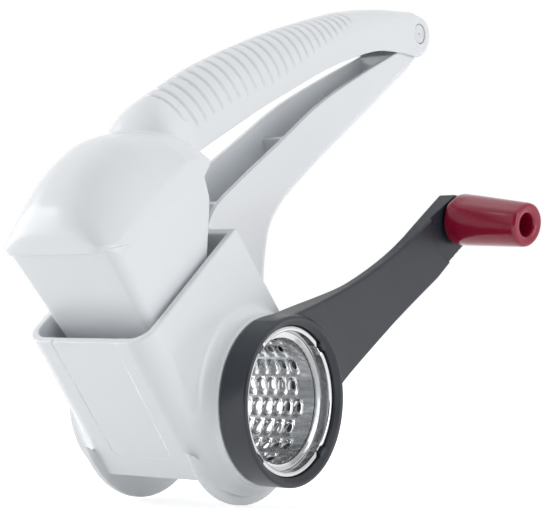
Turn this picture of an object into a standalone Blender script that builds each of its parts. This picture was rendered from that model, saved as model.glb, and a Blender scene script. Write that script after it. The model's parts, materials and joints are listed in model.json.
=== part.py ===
"""Hand cranked drum grater: hopper, round side plates, press lever, grating drum and crank.

Lengths are in metres. X runs along the drum's axis towards the crank, Y towards the
handle's hinge and Z up. The solids are drawn around the drum's axis, the lever's around
its hinge and the knob's around its spindle, and three empties put them in place.
"""

from math import asin, atan2, cos, hypot, pi, radians, sin, sqrt, tan

import bmesh
import bpy
from mathutils import Matrix, Vector

# Place of the drum's axis, so that the box around the whole object is centred on the origin
AXIS_X = -0.02425
AXIS_Y = -0.0336

# Gap between pieces that lie against each other
GAP = 0.0003

# Sides of the large turned rings and of the small turned pieces
RING_STEPS = 32
PIN_STEPS = 16

# Grating drum
DRUM_RADIUS = 0.0207
DRUM_SHEET = 0.0005
DRUM_STRIPS = 9
DRUM_BLANK = 0.0042
HOLE_ROWS = 18
HOLE_COLUMNS = 10
HOLE_PITCH = 0.0042
HOLE_LENGTH = 0.0054
HOLE_WIDTH = 0.0030
HOLE_SHAPE = ((-0.36, 0.5), (0.36, 0.5), (0.5, 0.0), (0.0, -0.5), (-0.5, 0.0))
TOOTH_HEIGHT = 0.0008
NECK_STEP = 0.0022
NECK_RADIUS = DRUM_RADIUS + NECK_STEP
NECK_SHEET = 0.0006
NECK_LENGTH = 0.0034
FLANGE_WIDTH = 0.0011
FLANGE_RADIUS = NECK_RADIUS + FLANGE_WIDTH
END_RING_STEP = 0.0015
END_RING_RADIUS = DRUM_RADIUS + END_RING_STEP
END_RING_LENGTH = 0.0040
NOTCH_WIDTH = 0.0040
NOTCH_COUNT = 4

# Bearing collars around the crank's sleeve, and the hopper's round back around them
COLLAR_WALL = 0.0030
COLLAR_RADIUS = FLANGE_RADIUS + 2.0 * GAP + COLLAR_WALL
COLLAR_LENGTH = 0.0088
HOPPER_ROUND_STEP = 0.0034
HOPPER_ROUND = COLLAR_RADIUS + HOPPER_ROUND_STEP

# Round side plates that carry the drum, and the height they give its axis
PLATE_DROP = 0.0030
PLATE_RADIUS = HOPPER_ROUND + PLATE_DROP
PLATE_WALL = 0.0022
PLATE_OUTER_HALF = 0.0221
PLATE_TOP = 0.014
AXIS_Z = PLATE_RADIUS
COLLAR_END = PLATE_OUTER_HALF + COLLAR_LENGTH

# Hopper, drawn in its own leaning directions: s towards the handle, h out of the mouth
HOPPER_LEAN = radians(38.2)
HOPPER_WALL = 0.0026
HOPPER_FRONT_STEP = 0.0007
HOPPER_FRONT = -(HOPPER_ROUND + HOPPER_FRONT_STEP)
HOPPER_BACK = 0.0262
HOPPER_MOUTH = 0.0495
HOPPER_FRONT_END = -0.0066
HOPPER_TIP_END = -0.0095
HOPPER_CORNER = 0.008
HOPPER_INNER_HALF = PLATE_OUTER_HALF + GAP
HOPPER_OUTER_HALF = HOPPER_INNER_HALF + HOPPER_WALL
GUARD_WALL = 0.0018
GUARD_TOP = 0.018
GUARD_FOOT = 0.004
GUARD_CLEARANCE = 0.0012

# Hinge of the press lever and how far the lever closes and opens
HINGE_Y = 0.128
HINGE_Z = 0.135
PIN_RADIUS = 0.0025
PIN_HEAD_RADIUS = 0.0036
PIN_HEAD_DEPTH = 0.0012
PIN_CLEARANCE = 0.0002
CLOSING_ANGLE = radians(7.0)

# Lower handle, a channel that is open upwards with ribs across it
HANDLE_ROOT_HALF = 0.0130
HANDLE_TIP_HALF = 0.0079
HANDLE_WALL = 0.0021
HANDLE_EDGE_ROUND = 0.0045
HANDLE_BOSS_RADIUS = 0.0066
RIB_WALL = 0.0016
RIB_DROP = 0.0015
RIB_PLACES = (0.007, 0.048, 0.084)

# Press lever, a channel that is open downwards, with finger grooves across its arched back
LEVER_CREST_Y = 0.1523
LEVER_CREST_Z = -0.1703
LEVER_CREST_RADIUS = 0.3160
LEVER_ROOT_HALF = 0.0160
LEVER_TIP_HALF = 0.0104
LEVER_WALL = 0.0020
LEVER_TIP_RADIUS = 0.0092
LEVER_ROOT_CROWN = 0.0070
LEVER_TIP_CROWN = 0.0025
GROOVE_COUNT = 24
GROOVE_START = radians(124.4)
GROOVE_PITCH = 0.00504
GROOVE_SPREAD = 0.000065
GROOVE_GATHER = 0.00000315
GROOVE_DEPTH = 0.0008
GROOVE_REACH = 0.0109

# Hood at the lever's front and the press box under it
HOOD_FRONT_Y = -0.0694
HOOD_FRONT_Z = 0.0452
HOOD_OVERHANG = 0.0010
HOOD_RISE = 0.0158
HOOD_RISE_AT = 0.0323
HOOD_BACK_RISE = 0.0105
HOOD_SLOPE = radians(31.3)
HOOD_HALF = 0.0222
HOOD_WALL = 0.0018
HOOD_CORNER = 0.0048
HOOD_LIP = 0.0012
HOOD_SIDE = 0.0062
BOX_TOP_HALF = 0.0214
BOX_FOOT_HALF = 0.0196
BOX_WALL = 0.0018
BOX_CORNER = 0.006
BOX_FOOT_CLEARANCE = 0.0020
BOX_BACK_CLEARANCE = 0.0007

# Crank, whose ring runs over the right collar
RING_WALL = 0.0031
RING_RADIUS = FLANGE_RADIUS + GAP + RING_WALL
RING_DEPTH = 0.0102
RING_FRONT = COLLAR_END + GAP + RING_DEPTH
RING_LIP = 0.0010
ARM_ANGLE = radians(33.6)
ARM_LENGTH = 0.1103
ARM_LEAN = 0.0066
ARM_THICKNESS = 0.0052
ARM_END_RADIUS = 0.0098
ARM_CHAMFER = 0.0010

# Ends of the drum, in the left plate and inside the crank's ring
DRUM_START = -(PLATE_OUTER_HALF + 0.0019)
DRUM_END = COLLAR_END + 0.0034

# Knob on its spindle
KNOB_LEAN = radians(10.0)
KNOB_LENGTH = 0.0310
KNOB_BASE_RADIUS = 0.0092
KNOB_END_RADIUS = 0.0078
KNOB_BORE_RADIUS = 0.0040
KNOB_BORE_DEPTH = 0.0190
KNOB_OVAL = 1.08
SPINDLE_RADIUS = 0.0024
SPINDLE_CLEARANCE = 0.0002
SCREW_HEAD_RADIUS = 0.0034
SCREW_HEAD_HEIGHT = 0.0020

WHITE = (0.90, 0.91, 0.92)
SLATE = (0.050, 0.056, 0.066)
CRIMSON = (0.45, 0.012, 0.045)
STEEL = (0.72, 0.73, 0.74)


def clear_scene():
    """Remove the start-up objects."""
    for item in list(bpy.data.objects):
        bpy.data.objects.remove(item, do_unlink=True)


def material(name, colour, roughness, metallic=0.0):
    """A Principled material with the piece's colour and finish."""
    made = bpy.data.materials.new(name)
    made.use_nodes = True
    shader = made.node_tree.nodes["Principled BSDF"]
    shader.inputs["Base Color"].default_value = (*colour, 1.0)
    shader.inputs["Roughness"].default_value = roughness
    shader.inputs["Metallic"].default_value = metallic
    made.diffuse_color = (*colour, 1.0)
    return made


def empty(name, location, rotation=(0.0, 0.0, 0.0), parent=None):
    """An empty that marks an axis."""
    made = bpy.data.objects.new(name, None)
    made.location = location
    made.rotation_euler = rotation
    made.parent = parent
    bpy.context.collection.objects.link(made)
    return made


def add_object(name, bm, parent, finish=None):
    """Turn a bmesh into an object; one without a finish is a hidden cutter."""
    bmesh.ops.recalc_face_normals(bm, faces=bm.faces)
    mesh = bpy.data.meshes.new(name)
    bm.to_mesh(mesh)
    bm.free()
    made = bpy.data.objects.new(name, mesh)
    bpy.context.collection.objects.link(made)
    made.parent = parent
    if finish is None:
        made.hide_render = True
        made.display_type = "WIRE"
        return made
    mesh.materials.append(finish)
    mesh.shade_smooth()
    mesh.set_sharp_from_angle(angle=radians(32))
    return made


def combine(target, tool, operation="DIFFERENCE"):
    """Cut a tool out of a target, or join the two."""
    step = target.modifiers.new(tool.name, "BOOLEAN")
    step.operation = operation
    step.solver = "EXACT"
    step.object = tool


def arc(radius, start, end, steps, centre=(0.0, 0.0)):
    """Points on an arc between two angles in degrees, both ends included."""
    points = []
    for i in range(steps + 1):
        angle = radians(start + (end - start) * i / steps)
        points.append((centre[0] + radius * cos(angle), centre[1] + radius * sin(angle)))
    return points


def arc_through(first, middle, last, steps):
    """Points on the arc that passes through three points."""
    ax, ay = first
    bx, by = middle
    cx, cy = last
    d = 2.0 * (ax * (by - cy) + bx * (cy - ay) + cx * (ay - by))
    a2, b2, c2 = ax * ax + ay * ay, bx * bx + by * by, cx * cx + cy * cy
    ox = (a2 * (by - cy) + b2 * (cy - ay) + c2 * (ay - by)) / d
    oy = (a2 * (cx - bx) + b2 * (ax - cx) + c2 * (bx - ax)) / d
    start = atan2(ay - oy, ax - ox)
    middle_turn = (atan2(by - oy, bx - ox) - start) % (2.0 * pi)
    end_turn = (atan2(cy - oy, cx - ox) - start) % (2.0 * pi)
    if middle_turn > end_turn:
        end_turn -= 2.0 * pi
    radius = hypot(ax - ox, ay - oy)
    points = []
    for i in range(steps + 1):
        angle = start + end_turn * i / steps
        points.append((ox + radius * cos(angle), oy + radius * sin(angle)))
    return points


def lean(point):
    """From the hopper's own directions (s, h) to (y, z)."""
    s, h = point
    return (s * cos(HOPPER_LEAN) - h * sin(HOPPER_LEAN), s * sin(HOPPER_LEAN) + h * cos(HOPPER_LEAN))


def unlean(point):
    """From (y, z) to the hopper's own directions (s, h)."""
    y, z = point
    return (y * cos(HOPPER_LEAN) + z * sin(HOPPER_LEAN), z * cos(HOPPER_LEAN) - y * sin(HOPPER_LEAN))


def turned(point, angle):
    """Turn a (y, z) point about the lever's hinge."""
    y, z = point[0] - HINGE_Y, point[1] - HINGE_Z
    return (HINGE_Y + y * cos(angle) - z * sin(angle), HINGE_Z + y * sin(angle) + z * cos(angle))


def prism(outline, half):
    """A solid between two copies of a (y, z) outline; half gives its half width at a point."""
    bm = bmesh.new()
    sides = []
    for sign in (-1.0, 1.0):
        ring = []
        for y, z in outline:
            width = half(y, z) if callable(half) else half
            ring.append(bm.verts.new((sign * width, y, z)))
        sides.append(ring)
    bm.faces.new(sides[0])
    bm.faces.new(reversed(sides[1]))
    count = len(outline)
    for i in range(count):
        j = (i + 1) % count
        bm.faces.new((sides[0][j], sides[0][i], sides[1][i], sides[1][j]))
    bmesh.ops.recalc_face_normals(bm, faces=bm.faces)
    return bm


def slab(outline, low, high):
    """A solid between x = low and x = high from a (y, z) outline."""
    bm = prism(outline, (high - low) / 2.0)
    bmesh.ops.translate(bm, verts=bm.verts, vec=((high + low) / 2.0, 0.0, 0.0))
    return bm


def round_edges(bm, chosen, radius, segments):
    """Round the edges for which chosen(edge) is true."""
    edges = [edge for edge in bm.edges if chosen(edge)]
    bmesh.ops.bevel(
        bm, geom=edges, offset=radius, offset_type="OFFSET", segments=segments,
        profile=0.5, affect="EDGES", clamp_overlap=True)


def along_outline(points, x_min=0.0):
    """Choose the edges at both sides that follow the given (y, z) points."""
    def close(vert):
        return any(hypot(vert.co.y - y, vert.co.z - z) < 1e-6 for y, z in points)

    def chosen(edge):
        first, second = edge.verts
        same_side = first.co.x * second.co.x > 0.0 and abs(first.co.x) > x_min
        return same_side and close(first) and close(second)

    return chosen


def turn(profile, steps, closed=True):
    """A solid turned about X from (x, radius) points; a radius of zero lies on the axis."""
    bm = bmesh.new()
    rings = []
    for x, radius in profile:
        if radius < 1e-9:
            rings.append([bm.verts.new((x, 0.0, 0.0))])
            continue
        ring = []
        for i in range(steps):
            angle = 2.0 * pi * (i + 0.5) / steps
            ring.append(bm.verts.new((x, radius * cos(angle), radius * sin(angle))))
        rings.append(ring)
    last = len(rings) if closed else len(rings) - 1
    for k in range(last):
        here, there = rings[k], rings[(k + 1) % len(rings)]
        for i in range(steps):
            j = (i + 1) % steps
            if len(here) == 1 and len(there) == 1:
                continue
            if len(here) == 1:
                bm.faces.new((here[0], there[j], there[i]))
            elif len(there) == 1:
                bm.faces.new((here[i], here[j], there[0]))
            else:
                bm.faces.new((here[i], here[j], there[j], there[i]))
    return bm


def loft(rings):
    """A solid through rings of points, closed by a face at each end."""
    bm = bmesh.new()
    rows = [[bm.verts.new(point) for point in ring] for ring in rings]
    count = len(rows[0])
    for here, there in zip(rows, rows[1:]):
        for i in range(count):
            j = (i + 1) % count
            bm.faces.new((here[i], here[j], there[j], there[i]))
    bm.faces.new(reversed(rows[0]))
    bm.faces.new(rows[-1])
    return bm


def moved(bm, offset):
    """Shift a bmesh."""
    bmesh.ops.translate(bm, verts=bm.verts, vec=offset)
    return bm


def from_hinge(bm):
    """Bring a solid drawn around the drum's axis to the lever's hinge."""
    return moved(bm, (0.0, -HINGE_Y, -HINGE_Z))


def hopper_outline():
    """Side of the hopper in (s, h): mouth, back edge, round foot and front tip."""
    back_turn = 21.0
    front_turn = -152.0
    points = [(HOPPER_FRONT, HOPPER_MOUTH), (HOPPER_BACK, HOPPER_MOUTH)]
    points += arc(HOPPER_ROUND, back_turn, front_turn, 26)
    points += [(HOPPER_FRONT + 0.0016, HOPPER_TIP_END - 0.0030), (HOPPER_FRONT, HOPPER_TIP_END)]
    return points


def hopper_inside():
    """Room inside the hopper in (s, h), open at the mouth and under the drum."""
    above = HOPPER_MOUTH + 0.006
    below = -0.045
    before = HOPPER_FRONT - 0.006
    inner_round = HOPPER_ROUND - HOPPER_WALL
    back_slope = (HOPPER_BACK - HOPPER_ROUND * cos(radians(21.0))) / (
        HOPPER_MOUTH - HOPPER_ROUND * sin(radians(21.0)))
    rear = arc(inner_round, 21.0, -20.0, 8)
    points = [(HOPPER_FRONT + HOPPER_WALL, above)]
    points += [(HOPPER_BACK - HOPPER_WALL + back_slope * 0.006, above)]
    out_turn = radians(-20.0)
    outside = HOPPER_ROUND + 0.007
    points += rear + [(outside * cos(out_turn), outside * sin(out_turn))]
    points += [(points[-1][0], below), (before, below), (before, HOPPER_FRONT_END)]
    points += [(HOPPER_FRONT + HOPPER_WALL, HOPPER_FRONT_END)]
    return points


def guard(wall_s, top, foot, thickness):
    """A slanting sill from a hopper wall towards the drum, in (s, h)."""
    reach = DRUM_RADIUS + TOOTH_HEIGHT + GUARD_CLEARANCE
    side = 1.0 if wall_s > 0.0 else -1.0
    foot_s = side * sqrt(reach * reach - foot * foot)
    into_wall = side * HOPPER_WALL * 0.4
    return [
        (wall_s + into_wall, top), (wall_s, top), (foot_s, foot), (foot_s, foot - thickness),
        (foot_s + side * 0.0008, foot - thickness), (wall_s + into_wall, top - 1.8 * thickness)]


def hopper_column():
    """Block with the hopper's rounded plan, which rounds its upright corners."""
    back = HOPPER_ROUND + 0.001
    half = HOPPER_OUTER_HALF
    plan = [(half, back), (-half, back)]
    inner_s = HOPPER_FRONT + HOPPER_CORNER
    inner_x = half - HOPPER_CORNER
    plan += arc(HOPPER_CORNER, 180.0, 270.0, 6, (-inner_x, inner_s))
    plan += arc(HOPPER_CORNER, 270.0, 360.0, 6, (inner_x, inner_s))
    rings = []
    for h in (-HOPPER_ROUND - 0.002, HOPPER_MOUTH + 0.002):
        ring = []
        for x, s in plan:
            y, z = lean((s, h))
            ring.append((x, y, z))
        rings.append(ring)
    return loft(rings)


def build_hopper(axis, white):
    """Leaning hopper with its walls, sills, flared side openings and rear guard."""
    outline = [lean(point) for point in hopper_outline()]
    hopper = add_object("hopper", prism(outline, HOPPER_OUTER_HALF + 0.001), axis, white)
    combine(hopper, add_object("hopper_column", hopper_column(), axis), "INTERSECT")

    flare_start = COLLAR_RADIUS + 0.0030
    flare_end = COLLAR_RADIUS + 0.0012
    swell = [(HOPPER_OUTER_HALF + 0.0030, 0.0)]
    for i in range(4):
        angle = radians(90.0 * i / 3)
        swell.append((
            HOPPER_OUTER_HALF + 0.0030 - 0.0034 * sin(angle),
            flare_end + (flare_start - flare_end) * (1.0 - cos(angle))))
    profile = swell + [(-x, r) for x, r in reversed(swell)]
    flare = add_object("hopper_flare", turn(profile, RING_STEPS, closed=False), axis)
    combine(hopper, flare, "UNION")

    room = prism([lean(point) for point in hopper_inside()], HOPPER_INNER_HALF)
    inner_line = [lean(hopper_inside()[0]), lean((HOPPER_FRONT + HOPPER_WALL, HOPPER_FRONT_END))]
    round_edges(room, along_outline(inner_line), HOPPER_CORNER - HOPPER_WALL, 6)
    combine(hopper, add_object("hopper_room", room, axis))

    sill_half = PLATE_OUTER_HALF - PLATE_WALL - GAP
    back_at_top = HOPPER_BACK - HOPPER_WALL + (
        HOPPER_ROUND * cos(radians(21.0)) - HOPPER_BACK) * 0.82
    for name, wall_s in (("front_sill", HOPPER_FRONT + HOPPER_WALL), ("rear_sill", back_at_top)):
        sill = [lean(point) for point in guard(wall_s, GUARD_TOP, GUARD_FOOT, GUARD_WALL)]
        combine(hopper, add_object(name, prism(sill, sill_half), axis), "UNION")

    opening = turn(
        [(-0.04, 0.0), (-0.04, COLLAR_RADIUS + GAP), (0.04, COLLAR_RADIUS + GAP), (0.04, 0.0)],
        RING_STEPS, closed=False)
    combine(hopper, add_object("hopper_opening", opening, axis))
    return hopper


def plate_outline():
    """Round side plate in (s, h), open at the top and cut back where the hopper's walls run."""
    bore = END_RING_RADIUS + GAP
    rear = HOPPER_ROUND - HOPPER_WALL - GAP
    front_s = -(HOPPER_INNER_HALF + 0.0028)
    step_h = HOPPER_FRONT_END - GAP
    top_turn = asin(PLATE_TOP / rear) * 180.0 / pi
    step_turn = -(180.0 + asin(step_h / PLATE_RADIUS) * 180.0 / pi)
    points = arc(rear, top_turn, -20.8, 6)
    points += arc(PLATE_RADIUS, -20.8, step_turn, 26)
    points += [(front_s, step_h), (front_s, PLATE_TOP)]
    open_turn = asin(PLATE_TOP / bore) * 180.0 / pi
    points += arc(bore, 180.0 - open_turn, 360.0 + open_turn, 28)
    return points


def build_side_plates(axis, white):
    """The two round plates whose rims hang below the hopper."""
    outline = [lean(point) for point in plate_outline()]
    inner = PLATE_OUTER_HALF - PLATE_WALL
    add_object("right_side_plate", slab(outline, inner, PLATE_OUTER_HALF), axis, white)
    add_object("left_side_plate", slab(outline, -PLATE_OUTER_HALF, -inner), axis, white)


def build_collars(axis, white):
    """Bearing collars for the crank's sleeve, one on each side."""
    bore = FLANGE_RADIUS + 2.0 * GAP
    chamfer = 0.0006
    foot = PLATE_OUTER_HALF + GAP
    for name, side in (("right_collar", 1.0), ("left_collar", -1.0)):
        profile = [
            (side * foot, bore), (side * (COLLAR_END - chamfer), bore),
            (side * COLLAR_END, bore + chamfer), (side * COLLAR_END, COLLAR_RADIUS - chamfer),
            (side * (COLLAR_END - chamfer), COLLAR_RADIUS), (side * foot, COLLAR_RADIUS)]
        add_object(name, turn(profile, RING_STEPS), axis, white)


def handle_half(y, z):
    """Half width of the lower handle, which narrows evenly towards the hinge."""
    root_y = -0.0095
    share = (y - root_y) / (HINGE_Y - root_y)
    return HANDLE_ROOT_HALF + (HANDLE_TIP_HALF - HANDLE_ROOT_HALF) * share


def handle_top():
    """Upper edge of the handle's walls, from the hopper to the hinge."""
    start = lean((HOPPER_BACK + 0.0006, HOPPER_MOUTH - 0.0004))
    return [start, (-0.0040, 0.0630)] + arc_through(
        (0.0100, 0.0722), (0.0600, 0.1022), (0.1160, 0.1270), 6)


def handle_bottom():
    """Lower edge of the handle, from the hinge to the hopper's round back."""
    boss = arc(HANDLE_BOSS_RADIUS, 100.0, -62.0, 12, (HINGE_Y, HINGE_Z))
    sweep = arc_through((0.1170, 0.1150), (0.0800, 0.0920), (0.0430, 0.0692), 6)
    turn_down = arc_through((0.0355, 0.0632), (0.0295, 0.0560), (0.0271, 0.0462), 5)
    return boss + sweep + turn_down + [(0.0254, 0.0300)]


def level(points, place):
    """Second coordinate of a run of points at a place along the first."""
    for (a0, b0), (a1, b1) in zip(points, points[1:]):
        if a0 <= place <= a1:
            return b0 + (b1 - b0) * (place - a0) / (a1 - a0)
    return points[-1][1]


def build_lower_handle(axis, white):
    """Channel from the hopper's back to the hinge, with ribs across it."""
    seat = HOPPER_ROUND + GAP
    seat_points = [lean(point) for point in arc(seat, 2.0, 21.0, 4)]
    outline = handle_top() + handle_bottom() + seat_points
    bm = prism(outline, handle_half)
    round_edges(bm, along_outline(handle_bottom()[10:]), HANDLE_EDGE_ROUND, 4)
    handle = add_object("lower_handle", bm, axis, white)

    def inner_half(y, z):
        return handle_half(y, z) - HANDLE_WALL

    floor = []
    sweep = handle_bottom()[13:]
    for i, (y, z) in enumerate(sweep):
        y0, z0 = sweep[max(i - 1, 0)]
        y1, z1 = sweep[min(i + 1, len(sweep) - 1)]
        run = hypot(y1 - y0, z1 - z0)
        floor.append((y + (z1 - z0) / run * HANDLE_WALL, z - (y1 - y0) / run * HANDLE_WALL))
    end_y, end_z = floor[-1]
    room_outline = [(-0.030, 0.075), (-0.004, 0.090), (0.060, 0.125), (0.108, 0.140)]
    room_outline += [(0.1115, 0.1200)] + floor + [(end_y - 0.0006, 0.012), (-0.030, 0.040)]
    room = add_object("handle_room", prism(room_outline, inner_half), axis)
    combine(handle, room)

    slope = atan2(0.0548, 0.1060)
    along = (cos(slope) * RIB_WALL / 2.0, sin(slope) * RIB_WALL / 2.0)
    for i, y in enumerate(RIB_PLACES):
        top = (y, level(handle_top(), y) - RIB_DROP)
        foot = (top[0] + 0.05 * sin(slope), top[1] - 0.05 * cos(slope))
        rib_outline = [
            (top[0] - along[0], top[1] - along[1]), (top[0] + along[0], top[1] + along[1]),
            (foot[0] + along[0], foot[1] + along[1]), (foot[0] - along[0], foot[1] - along[1])]
        rib = prism(rib_outline, HANDLE_ROOT_HALF + 0.002)
        combine(room, add_object(f"handle_rib_{i + 1}", rib, axis))

    bore = turn(
        [(-0.03, 0.0), (-0.03, PIN_RADIUS + PIN_CLEARANCE), (0.03, PIN_RADIUS + PIN_CLEARANCE),
         (0.03, 0.0)], PIN_STEPS, closed=False)
    combine(handle, add_object("handle_bore", moved(bore, (0.0, HINGE_Y, HINGE_Z)), axis))


def lever_half(y, z):
    """Half width of the press lever, which narrows evenly towards the hinge."""
    front_y = -0.0200
    share = (y - front_y) / (HINGE_Y - front_y)
    return LEVER_ROOT_HALF + (LEVER_TIP_HALF - LEVER_ROOT_HALF) * share


def crest_place(along):
    """Point on the lever's crest, and the way out of it, at a length along it."""
    angle = GROOVE_START - along / LEVER_CREST_RADIUS
    out = (cos(angle), sin(angle))
    point = (LEVER_CREST_Y + LEVER_CREST_RADIUS * out[0], LEVER_CREST_Z + LEVER_CREST_RADIUS * out[1])
    return point, out


def groove_place(number):
    """Length along the crest at which a finger groove lies."""
    return number * (GROOVE_PITCH + number * (GROOVE_SPREAD - number * GROOVE_GATHER))


def lever_section(along, depth, inset):
    """Arch across the lever; depth sinks the grooved part and inset makes it smaller all round."""
    (y, z), (out_y, out_z) = crest_place(along)
    half = lever_half(y, z) - inset
    share = min(max((along - 0.114) / 0.046, 0.0), 1.0)
    fade = share * share * (3.0 - 2.0 * share)
    crown = LEVER_ROOT_CROWN + (LEVER_TIP_CROWN - LEVER_ROOT_CROWN) * fade - 1.7 * inset
    crown = max(crown, 0.0008)
    reach = GROOVE_REACH - 0.0075 * ((along - 0.047) / 0.064) ** 2
    groove_end = max(reach - 0.0012, inset + crown + 0.0004)
    below = max(reach + 0.0010, inset + crown + 0.0014)
    side = [(half, 0.045, 0.0, 0.0), (half, below, 0.0, 0.0), (half, groove_end, 1.0, 0.0)]
    for k in range(4):
        angle = radians(30.0 * k)
        drop = inset + crown * (1.0 - sin(angle))
        side.append((half - crown * (1.0 - cos(angle)), drop, cos(angle), sin(angle)))
    ring = []
    for sign, half_ring in ((-1.0, side), (1.0, reversed(side))):
        for x, drop, across, up in half_ring:
            sunk = depth * min(max((reach - drop) / 0.0008, 0.0), 1.0)
            down = drop + sunk * up
            ring.append((sign * (x - sunk * across), y - out_y * down, z - out_z * down))
    return ring


def lever_bar(grooved, inset, first, last):
    """Bar under the lever's crest, whose back is arched and may have the finger grooves."""
    stations = [(first, 0.0)]
    if grooved:
        for number in range(GROOVE_COUNT):
            ridge = (groove_place(number - 1) + groove_place(number)) / 2.0
            stations += [(ridge, 0.0), (groove_place(number), GROOVE_DEPTH)]
        stations.append((groove_place(GROOVE_COUNT - 1) + GROOVE_PITCH / 2.0, 0.0))
    else:
        stations += [(0.020 * k, 0.0) for k in range(6)]
    stations += [(0.122 + 0.010 * k, 0.0) for k in range(5)] + [(last, 0.0)]
    return loft([lever_section(along, depth, inset) for along, depth in stations])


def lever_under():
    """Lower edge of the lever's walls from the hinge to the hood."""
    return arc_through((0.1180, 0.1262), (0.0600, 0.1125), (-0.0190, 0.0790), 8)


def hood_point(u, v):
    """From the hood's own directions, u back along its rim and v up from it, to (y, z)."""
    return (HOOD_FRONT_Y + u * cos(HOOD_SLOPE) - v * sin(HOOD_SLOPE),
            HOOD_FRONT_Z + u * sin(HOOD_SLOPE) + v * cos(HOOD_SLOPE))


def box_back(h):
    """Place of the press box's back at a height, with the lever closed: it clears the rim."""
    rim_corner = lean((HOPPER_BACK - HOPPER_WALL, HOPPER_MOUTH))
    reach = hypot(rim_corner[0] - HINGE_Y, rim_corner[1] - HINGE_Z) + BOX_BACK_CLEARANCE
    y_ref, z_ref = lean((0.0, h))
    by, bz = y_ref - HINGE_Y, z_ref - HINGE_Z
    half_b = by * cos(HOPPER_LEAN) + bz * sin(HOPPER_LEAN)
    return -half_b - sqrt(half_b * half_b - (by * by + bz * bz - reach * reach))


def hood_length():
    """Length of the hood's rim, from its lip to just past the press box's back."""
    h = HOPPER_MOUTH
    for _ in range(4):
        y, z = turned(lean((box_back(h), h)), -CLOSING_ANGLE)
        dy, dz = y - HOOD_FRONT_Y, z - HOOD_FRONT_Z
        h -= dz * cos(HOOD_SLOPE) - dy * sin(HOOD_SLOPE)
    return dy * cos(HOOD_SLOPE) + dz * sin(HOOD_SLOPE) + HOOD_OVERHANG


def hood_rim():
    """Lower edge of the hood, from its front lip to its back."""
    return hood_point(0.0, 0.0), hood_point(hood_length(), 0.0)


def build_hood():
    """Domed hood over the press box, as a shell lofted from arches."""
    length = hood_length()
    crest_end = length + HOOD_BACK_RISE * tan(HOOD_SLOPE)
    crest = arc_through(
        (0.0, HOOD_WALL / 2.0), (HOOD_RISE_AT, HOOD_RISE), (crest_end, HOOD_BACK_RISE), 16)
    stations = [0.0, HOOD_LIP, 2.0 * HOOD_LIP]
    stations += [HOOD_CORNER + (length - HOOD_CORNER) * k / 7 for k in range(8)]
    arch_steps = 12
    arch_power = 2.3

    def arch(u, half, wall):
        lean_back = tan(HOOD_SLOPE) * u / length
        side = HOOD_SIDE * (u / length) ** 1.5
        foot = -HOOD_LIP * max(0.0, 1.0 - u / (2.0 * HOOD_LIP))
        points = [(-half, foot)]
        for k in range(arch_steps + 1):
            across = -cos(pi * k / arch_steps)
            v = side
            for _ in range(4):
                crown = level(crest, u + lean_back * v)
                v = side + max(crown - side, 0.0) * (1.0 - abs(across) ** arch_power)
            sunk = min(wall, (v - foot) * 0.6)
            points.append((half * across, v - sunk + 0.0002))
        points.append((half, foot))
        ring = []
        for x, v in points:
            y, z = hood_point(u + lean_back * v, v)
            ring.append((x, y - HINGE_Y, z - HINGE_Z))
        return ring

    rings = []
    for u in stations:
        rest = HOOD_CORNER - min(u, HOOD_CORNER)
        half = HOOD_HALF - HOOD_CORNER + sqrt(HOOD_CORNER ** 2 - rest ** 2)
        rings.append(arch(u, half, 0.0) + list(reversed(arch(u, half - HOOD_WALL, HOOD_WALL))))
    return loft(rings)


def build_lever(hinge, white):
    """Press lever: grooved channel with its ears at the hinge and the hood at its front."""
    first, last = -0.014, 0.190
    lever = add_object("press_lever", from_hinge(lever_bar(True, 0.0, first, last)), hinge, white)
    above = HINGE_Z + 0.025
    meet_y = HINGE_Y - 0.010
    meet_z = LEVER_CREST_Z + sqrt(LEVER_CREST_RADIUS ** 2 - (meet_y - LEVER_CREST_Y) ** 2)
    outline = [(-0.060, above), (meet_y, above), (meet_y, meet_z)]
    outline += arc(LEVER_TIP_RADIUS, 84.0, -62.0, 12, (HINGE_Y, HINGE_Z))
    outline += lever_under() + [(-0.060, 0.0585)]
    side = add_object("lever_side", from_hinge(prism(outline, LEVER_ROOT_HALF + 0.004)), hinge)
    combine(lever, side, "INTERSECT")

    end = arc(LEVER_TIP_RADIUS - LEVER_WALL, 84.0, 25.0, 5, (HINGE_Y, HINGE_Z))
    out_y = HINGE_Y + 0.0130 * cos(radians(22.0))
    out_z = HINGE_Z + 0.0130 * sin(radians(22.0))
    room_outline = [(-0.060, 0.040), (-0.060, above), (HINGE_Y, above)] + end
    room_outline += [(out_y, out_z), (0.141, 0.112), (0.060, 0.090)]
    room = add_object(
        "lever_room", from_hinge(lever_bar(False, LEVER_WALL, first - 0.006, last)), hinge)
    room_side = prism(room_outline, LEVER_ROOT_HALF)
    combine(room, add_object("lever_room_side", from_hinge(room_side), hinge), "INTERSECT")
    combine(lever, room)
    combine(lever, add_object("lever_hood", build_hood(), hinge), "UNION")

    hole = turn(
        [(-0.03, 0.0), (-0.03, PIN_RADIUS + PIN_CLEARANCE), (0.03, PIN_RADIUS + PIN_CLEARANCE),
         (0.03, 0.0)], PIN_STEPS, closed=False)
    combine(lever, add_object("lever_bore", hole, hinge))
    outer = lever_half(HINGE_Y, HINGE_Z)
    for name, side in (("right_recess", 1.0), ("left_recess", -1.0)):
        recess = turn(
            [(side * (outer - PIN_HEAD_DEPTH), 0.0),
             (side * (outer - PIN_HEAD_DEPTH), PIN_HEAD_RADIUS + GAP),
             (side * 0.03, PIN_HEAD_RADIUS + GAP), (side * 0.03, 0.0)], PIN_STEPS, closed=False)
        combine(lever, add_object(name, recess, hinge))


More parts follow.
